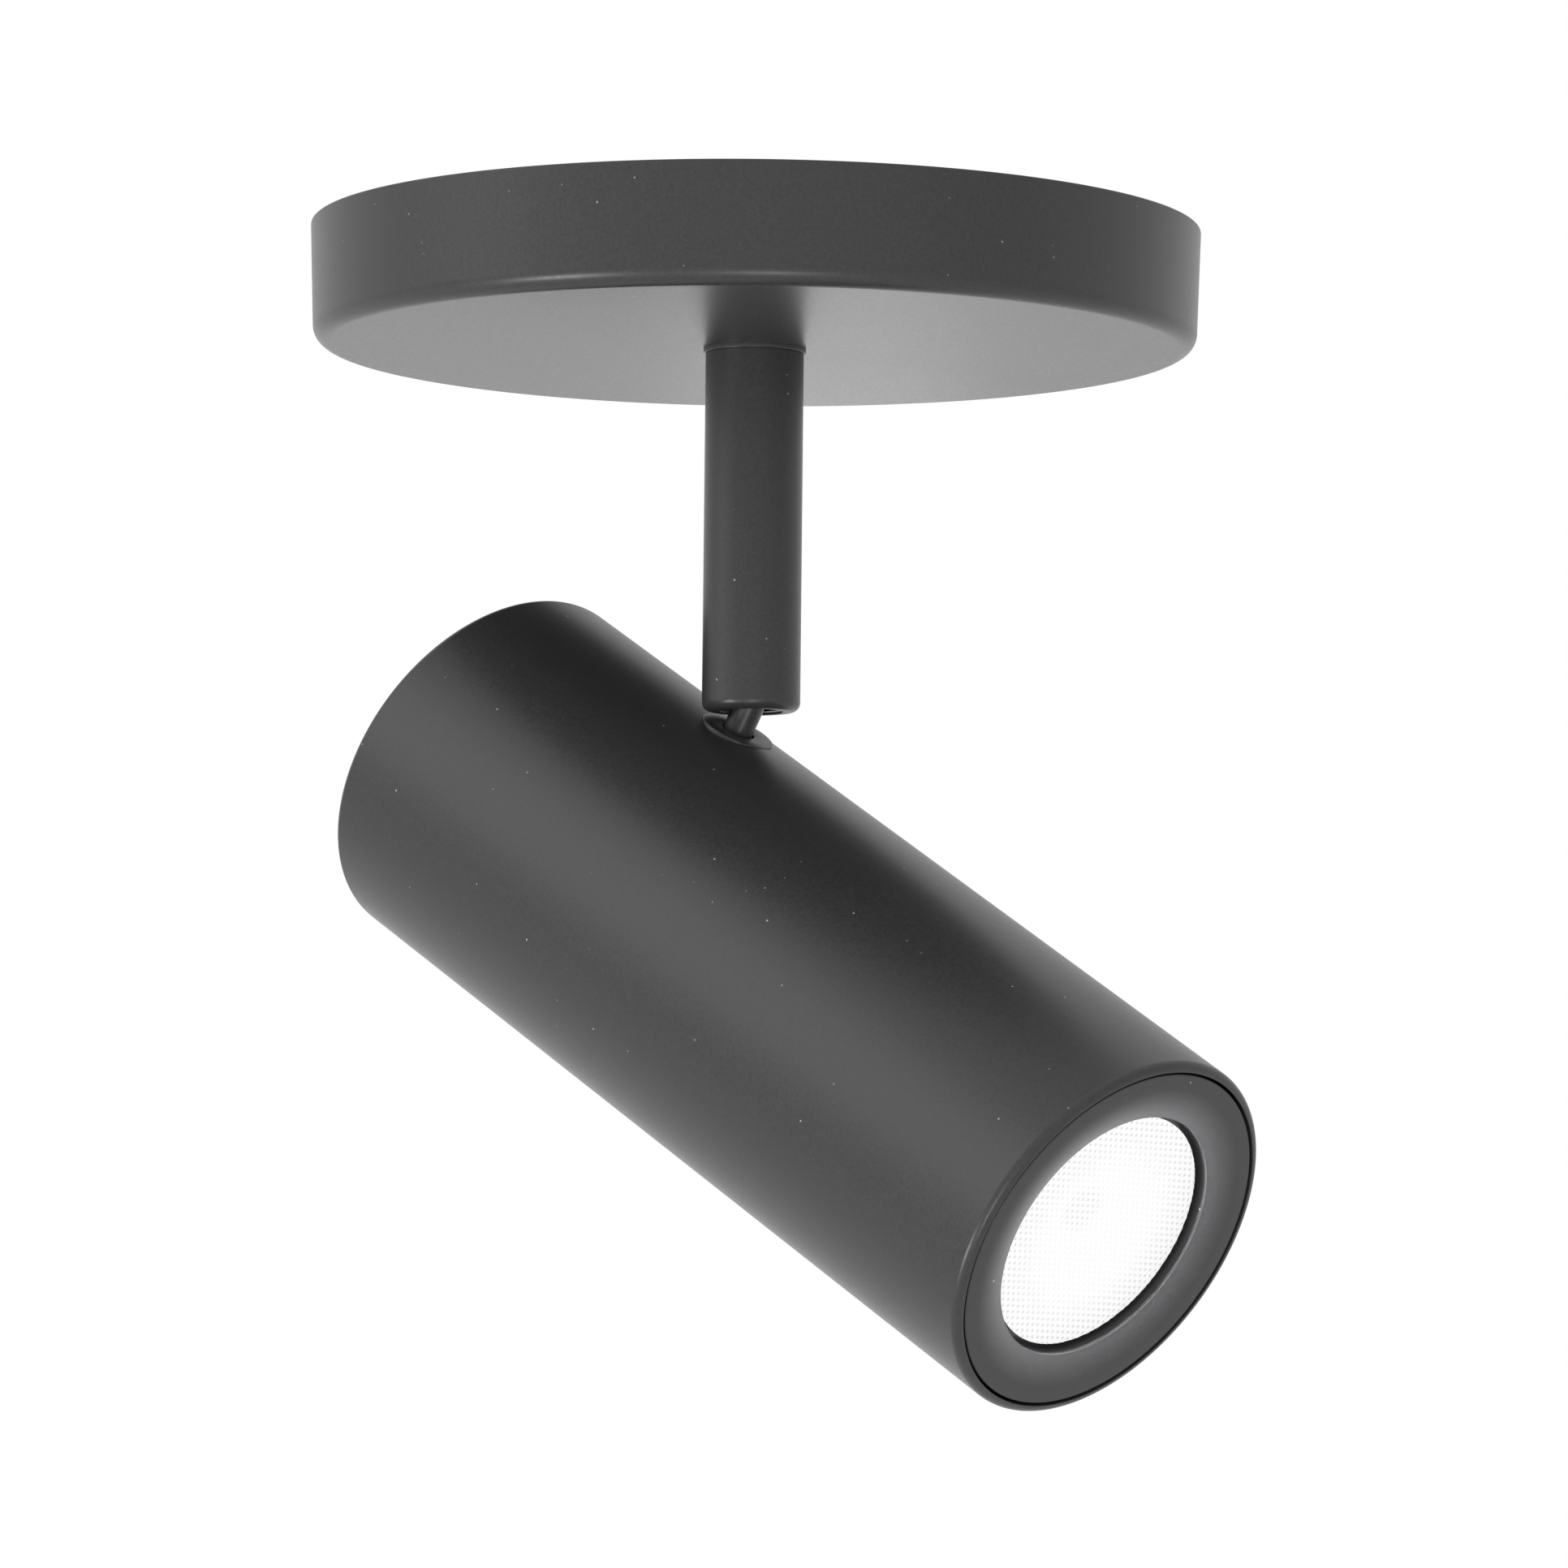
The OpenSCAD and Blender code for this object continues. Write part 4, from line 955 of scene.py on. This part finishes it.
def make_prisms():
    """A sheet of prisms, a little larger than the lens."""
    beside = math.ceil(LENS_R_MM / PRISM_MM) + 1
    above = math.ceil(LENS_R_MM / PRISM_ROW_MM / 2)
    first = Vector((
        -beside * PRISM_MM, -above * 2 * PRISM_ROW_MM, LENS_FACE_MM - PRISM_HIGH_MM,
    )) * MM
    deselect()
    bpy.ops.mesh.primitive_circle_add(
        vertices=6, radius=PRISM_MM / math.sqrt(3) * MM, fill_type="NGON", location=first)
    sheet = bpy.context.object
    bpy.ops.object.transform_apply()
    edit(sheet)
    bpy.ops.mesh.poke(offset=PRISM_HIGH_MM * MM)
    bpy.ops.object.mode_set(mode="OBJECT")
    repeat(sheet, 2 * beside + 1, PRISM_MM, 0)
    repeat(sheet, 2, PRISM_MM / 2, PRISM_ROW_MM)
    repeat(sheet, 2 * above + 1, 0, 2 * PRISM_ROW_MM)
    clean_up(sheet)
    return sheet


prisms = make_prisms()
print("faces of the prisms:", len(prisms.data.polygons))

# %% [markdown]
# ## Cutting the lens
# The sheet of prisms becomes a plate: its open edge is drawn back and closed with one
# face. A round blank then cuts it out. A flange, turned on its own, holds it behind the
# trim.

# %% Cut the lens
PLATE_MM = 0.65
BLANK_FROM_MM = 90
BLANK_TO_MM = 98
FLANGE_R_MM = 24.1
FLANGE_BACK_MM = 92.1
FLANGE_FRONT_MM = 93.67


def make_lens(lens):
    lens.name = "prism_lens"
    edit(lens, "EDGE", "DESELECT")
    bpy.ops.mesh.select_non_manifold()
    back = (0, 0, -PLATE_MM * MM)
    bpy.ops.mesh.extrude_edges_move(TRANSFORM_OT_translate={"value": back})
    bpy.ops.mesh.edge_face_add()
    clean_up(lens)
    blank = rod(LENS_R_MM, (0, 0, BLANK_FROM_MM), (0, 0, BLANK_TO_MM), SIDES)
    cut(lens, blank, "INTERSECT")
    flange = lathe("flange_of_lens", [
        (FLANGE_R_MM, FLANGE_BACK_MM), (FLANGE_R_MM, FLANGE_FRONT_MM), (0, FLANGE_FRONT_MM),
    ])
    close_ring(flange, FLANGE_R_MM, FLANGE_BACK_MM)
    activate(lens)
    flange.select_set(True)
    bpy.ops.object.join()
    rows_upright = Matrix.Rotation(QUARTER_TURN, 4, "Z")
    move_mesh(lens, HEAD @ ALONG_AIM @ rows_upright)
    return dress(lens, "head", "lens_cover", smooth_to=2)


make_lens(prisms)

# %% [markdown]
# ## Leads
# Three leads come up the stem, bend over its top and reach the house wiring in the canopy.
# Each is a curve with a round section, turned to a mesh at the end: a curve needs far
# fewer points in a bend.

# %% Draw the leads
LEAD_R_MM = 0.5
LEAD_START_MM = (0.6, -60)
LEAD_BEND_MM = 3
BEND_STEPS = 16


def arc(centre, start, end):
    """Points of a bend in the (out, up) plane of a lead, in mm."""
    angles = [math.radians(start + (end - start) * i / BEND_STEPS) for i in range(BEND_STEPS + 1)]
    out, up = centre
    return [(out + LEAD_BEND_MM * math.cos(a), up + LEAD_BEND_MM * math.sin(a)) for a in angles]


SUPPLY_PATH = [
    LEAD_START_MM, *arc((3.6, -8.8), 180, 60), *arc((14.734, -8.3), 240, 270), (20.5, -11.3),
]
EARTH_PATH = [LEAD_START_MM, *arc((3.6, -5.7), 180, 90), (11.13, -2.7)]
LEADS = [
    # name, CAD node, heading in degrees, path
    ("supply_lead_black", "lead_live", 60, SUPPLY_PATH),
    ("supply_lead_white", "lead_neutral", -60, SUPPLY_PATH),
    ("earth_lead", "lead_ground", 180, EARTH_PATH),
]


def make_lead(name, node, heading, path):
    deselect()
    bpy.ops.curve.primitive_nurbs_path_add(location=(0, 0, 0))
    lead = bpy.context.object
    lead.name = name
    lead.data.splines.clear()
    spline = lead.data.splines.new("POLY")
    spline.points.add(len(path) - 1)
    for point, (out, up) in zip(spline.points, path):
        spot = Matrix.Rotation(math.radians(heading), 3, "Z") @ Vector((out, 0, up)) * MM
        point.co = (*spot, 1)
    lead.data.bevel_depth = LEAD_R_MM * MM
    lead.data.bevel_resolution = 6
    lead.data.use_fill_caps = True
    bpy.ops.object.convert(target="MESH")
    lead = bpy.context.object
    clean_up(lead)
    return dress(lead, "canopy", node)


for lead in LEADS:
    make_lead(*lead)

# %% [markdown]
# ## Connectors
# Two moulded connectors wait on the ends of the supply leads. Each is turned as a cone with
# a skirt. Its ribs, which fingers grip, are raised from every other group of faces by one
# inset, so that they follow the cone by themselves.

# %% Mould the connectors
RIBS = 8
CONNECTOR_PLACE_MM = (16, 0, -11.3)
CONNECTOR_LONG_MM = 18
SOCKET_DEEP_MM = 4
SOCKET_FOOT_R_MM = 3.3
SOCKET_R_MM = 3.4
SKIRT_R_MM = 4.2
SKIRT_MM = 5.4
TIP_R_MM = 2.7
RIB_SHARE = 0.39
ROUNDING = 0.01
RIB_FROM_MM = 5.6
RIB_TO_MM = 17.6
RIB_HIGH_MM = 0.3
RIB_EDGE_MM = 0.18


def on_rib(point):
    """Whether a point of the cone lies on a rib."""
    pitch = 360 / RIBS
    share = (math.degrees(math.atan2(point.y, point.x)) % pitch) / pitch
    beside = share < RIB_SHARE or share > 1 - ROUNDING
    return beside and RIB_FROM_MM < point.z < RIB_TO_MM


def make_connector(name, heading):
    cone = lathe(name, [
        (LEAD_R_MM, SOCKET_DEEP_MM), (SOCKET_FOOT_R_MM, SOCKET_DEEP_MM), (SOCKET_R_MM, 0),
        (SKIRT_R_MM, 0), (SKIRT_R_MM, SKIRT_MM), (TIP_R_MM, CONNECTOR_LONG_MM),
        (0, CONNECTOR_LONG_MM),
    ], sides=64)
    round_ring(cone, SKIRT_R_MM, 0, bend_mm=0.3, segments=3)
    round_ring(cone, SKIRT_R_MM, SKIRT_MM, bend_mm=0.5, segments=3)
    round_ring(cone, TIP_R_MM, CONNECTOR_LONG_MM, bend_mm=0.9, segments=5)
    pick(cone, "faces", on_rib)
    bpy.ops.mesh.inset(thickness=RIB_EDGE_MM * MM, depth=RIB_HIGH_MM * MM)
    bpy.ops.object.mode_set(mode="OBJECT")
    swing = Matrix.Rotation(math.radians(heading), 4, "Z")
    move_mesh(cone, swing @ Matrix.Translation(Vector(CONNECTOR_PLACE_MM) * MM) @ ALONG_AIM)
    return cone


def make_connectors():
    connectors = make_connector("wire_connectors", -60)
    second = make_connector("second_connector", 60)
    activate(connectors)
    second.select_set(True)
    bpy.ops.object.join()
    return dress(connectors, "canopy", "lead_connectors", smooth_to=40)


make_connectors()

# %% [markdown]
# ## Small hardware
# Stamped and machined small parts have the right shape in the CAD model, but its edges are
# ideal. A merged copy of each gets its flat faces joined again and its edges broken by a
# narrow bevel, as a deburring drum does. The swivel is only merged and smoothed.

# %% Break the edges of the hardware
HARDWARE = [
    # CAD node, body, width of the broken edge in mm, steps of its bevel
    ("mounting_plate", "canopy", 0.25, 3),
    ("canopy_screws", "canopy", 0.12, 3),
    ("ground_screw", "canopy", 0.15, 3),
    ("ground_terminal", "canopy", 0.1, 2),
    ("stem_nipple", "canopy", 0.2, 3),
    ("nipple_nut", "canopy", 0.3, 3),
    ("nipple_washer", "canopy", 0.15, 3),
    ("nipple_bushing", "canopy", 0.15, 3),
    ("stop_screw", "canopy", 0.1, 3),
    ("swivel_barrel", "swivel", 0, 0),
]


def deburr(node, body, edge_mm, segments):
    piece = bpy.data.objects.new(node + "_deburred", nodes[node].data.copy())
    bpy.context.scene.collection.objects.link(piece)
    clean_up(piece)
    edit(piece)
    bpy.ops.mesh.dissolve_limited(angle_limit=math.radians(0.3))
    bpy.ops.object.mode_set(mode="OBJECT")
    if edge_mm:
        apply_modifier(
            piece, "BEVEL", width=edge_mm * MM, segments=segments, limit_method="ANGLE",
            angle_limit=math.radians(40), use_clamp_overlap=True, harden_normals=False,
        )
    return dress(piece, body, node)


for part in HARDWARE:
    deburr(*part)
print("hardware pieces:", len(HARDWARE))

# %% [markdown]
# ## The studio floor
# A pale painted floor lies a room's height below the ceiling. The camera and reflections
# should find it white. More light would wash out the object, so the floor glows a little
# instead, and only for the rays that show it.

# %% Lay the studio floor
FLOOR_Z = -2.4
FLOOR_SIZE = 12
FLOOR_GLOW = 0.25


def rays_that_see(tree, path):
    """1 for rays of the camera, of a reflection or through a clear part, and 0 for others."""
    seen = add_node(tree, "ShaderNodeMath", {
        0: path["Is Camera Ray"], 1: path["Is Glossy Ray"],
    }, operation="MAXIMUM")
    return add_node(tree, "ShaderNodeMath", {
        0: seen.outputs[0], 1: path["Is Transmission Ray"],
    }, operation="MAXIMUM").outputs[0]


def make_floor():
    deselect()
    bpy.ops.mesh.primitive_plane_add(size=FLOOR_SIZE, location=(0, 0, FLOOR_Z))
    floor = bpy.context.object
    floor.name = "studio_floor"
    material, tree, shader = start_material("pale_floor_paint", "e9e9e9", 0.8)
    path = add_node(tree, "ShaderNodeLightPath").outputs
    glow = add_node(tree, "ShaderNodeMath", {
        0: rays_that_see(tree, path), 1: FLOOR_GLOW,
    }, operation="MULTIPLY")
    shader.inputs["Emission Color"].default_value = srgb("ffffff")
    tree.links.new(glow.outputs[0], shader.inputs["Emission Strength"])
    floor.data.materials.append(material)
    return floor


floor = make_floor()
print(floor.name, FLOOR_SIZE, "m wide at", FLOOR_Z, "m")

# %% [markdown]
# ## The white world
# The world is white all round, and its level depends on the ray. The camera sees exactly
# white. Reflections and clear parts find white with some brighter parts on top. Diffuse
# light comes from a lower level with the same brighter parts, so that the black stays
# black. They lie in front, behind, overhead and high on the left, and model the round
# parts. Large lamps could do it, but a part of the world has no edge that would show.

# %% Light the world
WHITE = 1.0
ROOM_LEVEL = 0.72
BRIGHT_PARTS = [
    # towards (x, y, z), full within degrees, gone at degrees, added level
    ((0, -1, 0), 20, 60, 0.18),
    ((-0.85, -0.24, 0.46), 8, 31, 1.75),
    ((0, 1, -0.1), 6, 24, 0.34),
    ((0, 0, 1), 20, 60, 0.36),
]


def add_bright_part(tree, direction, level, towards, inner, outer, added):
    """Adds one brighter part to the level so far."""
    facing = add_node(tree, "ShaderNodeVectorMath", {
        0: direction, 1: Vector(towards).normalized(),
    }, operation="DOT_PRODUCT")
    part = add_node(tree, "ShaderNodeMapRange", {
        "Value": facing.outputs["Value"], "From Min": math.cos(math.radians(outer)),
        "From Max": math.cos(math.radians(inner)), "To Max": added,
    }, interpolation_type="SMOOTHSTEP")
    return add_node(tree, "ShaderNodeMath", {
        0: level, 1: part.outputs[0],
    }, operation="ADD").outputs[0]


def light_world():
    world = bpy.data.worlds.new("white_studio")
    bpy.context.scene.world = world
    world.use_nodes = True
    tree = world.node_tree
    tree.nodes.clear()
    direction = add_node(tree, "ShaderNodeTexCoord").outputs["Generated"]
    path = add_node(tree, "ShaderNodeLightPath").outputs
    level = add_node(tree, "ShaderNodeMix", {
        FACTOR: rays_that_see(tree, path), VALUE_A: ROOM_LEVEL, VALUE_B: WHITE,
    }).outputs[VALUE_OUT]
    for bright_part in BRIGHT_PARTS:
        level = add_bright_part(tree, direction, level, *bright_part)
    shown = add_node(tree, "ShaderNodeMix", {
        FACTOR: path["Is Camera Ray"], VALUE_A: level, VALUE_B: WHITE,
    })
    back = add_node(tree, "ShaderNodeBackground", {
        "Color": srgb("ffffff"), "Strength": shown.outputs[VALUE_OUT],
    })
    add_node(tree, "ShaderNodeOutputWorld", {"Surface": back.outputs[0]})


light_world()
bpy.context.scene.view_settings.view_transform = "Standard"
print("world level", ROOM_LEVEL, "and", len(BRIGHT_PARTS), "brighter parts")

# %% [markdown]
# ## Soft boxes
# Two small soft boxes stand low in front and put the glints on the rounded edges. Their
# strength is written as the light that reaches the object, and gives the watts.

# %% Hang the soft boxes
BOX_AWAY = 1.5
BOX_SIZE = 0.22
SOFT_BOXES = {
    # name: towards (x, y, z), light that reaches the object
    "soft_box_left": ((-0.70, -0.50, -0.50), 1.4),
    "soft_box_right": ((0.05, -0.82, -0.57), 0.65),
}


def add_lamp(name, kind, place, facing, watts, **settings):
    """A lamp at a place, shining along a direction, unseen by the camera."""
    deselect()
    aim = Vector(facing).to_track_quat("-Z", "Y").to_euler()
    bpy.ops.object.light_add(type=kind, location=place, rotation=aim)
    lamp = bpy.context.object
    lamp.name = name
    lamp.data.energy = watts
    for setting, value in settings.items():
        setattr(lamp.data, setting, value)
    lamp.visible_camera = False
    return lamp


for name, (towards, light) in SOFT_BOXES.items():
    spot = Vector(towards).normalized() * BOX_AWAY
    # a lamp of W watts gives an irradiance of W / (pi * distance squared)
    watts = light * math.pi * BOX_AWAY ** 2
    lamp = add_lamp(name, "AREA", spot, -spot, watts, shape="DISK", size=BOX_SIZE)
    print(lamp.name, "gives", round(lamp.data.energy, 2), "W")

# %% [markdown]
# ## A card behind
# A small lit card hangs behind the light, just below the line of sight. The underside of
# the canopy is seen at a glancing angle and mirrors it as a soft pale patch beside the
# stem. Light linking lets it fall on the canopy alone, so that no other edge shines.

# %% Hang the card
CARD_PLACE = (0.016, 0.4455, -0.080)
CARD_SIZE = 0.06
CARD_LEVEL = 1.3


def light_only(lamp, name, piece):
    """Lets a lamp fall on one piece alone."""
    lit = bpy.data.collections.new(name)
    lit.objects.link(piece)
    lamp.light_linking.receiver_collection = lit


# a surface that looks as bright as the level sends out level * pi watts per square metre
watts = CARD_LEVEL * math.pi * (math.pi * CARD_SIZE ** 2 / 4)
card = add_lamp(
    "card_behind", "AREA", CARD_PLACE, -Vector(CARD_PLACE), watts, shape="DISK", size=CARD_SIZE)
light_only(card, "lit_by_card", canopy)
print(card.name, "gives", round(card.data.energy, 4), "W")

# %% [markdown]
# ## Light on the trim
# The real lens is far brighter than white paper, and what grazes the dish turns it pale. A
# picture can't show such a lens, so a small spot lamp in the opening stands in, near the
# chip's image. It shines forwards over half a sphere, which leaves the wall of the opening
# dark, and light linking lets it fall on the trim ring alone. It rides on the head as the
# lens does.

# %% Light the dish
GLOW_PLACE_MM = (95.65, -3.0, 1.5)
GLOW_SIZE_MM = 0.5
GLOW_W = 0.25


def light_dish():
    forwards = HEAD.to_3x3() @ Vector((1, 0, 0))
    lamp = add_lamp(
        "lens_glow", "SPOT", HEAD @ (Vector(GLOW_PLACE_MM) * MM), forwards, GLOW_W,
        spot_size=math.pi, spot_blend=0.0, shadow_soft_size=GLOW_SIZE_MM * MM,
    )
    lamp.visible_glossy = False
    light_only(lamp, "lit_by_lens", trim)
    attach(lamp, "head")
    return lamp


lens_glow = light_dish()
print(lens_glow.name, "gives", lens_glow.data.energy, "W")
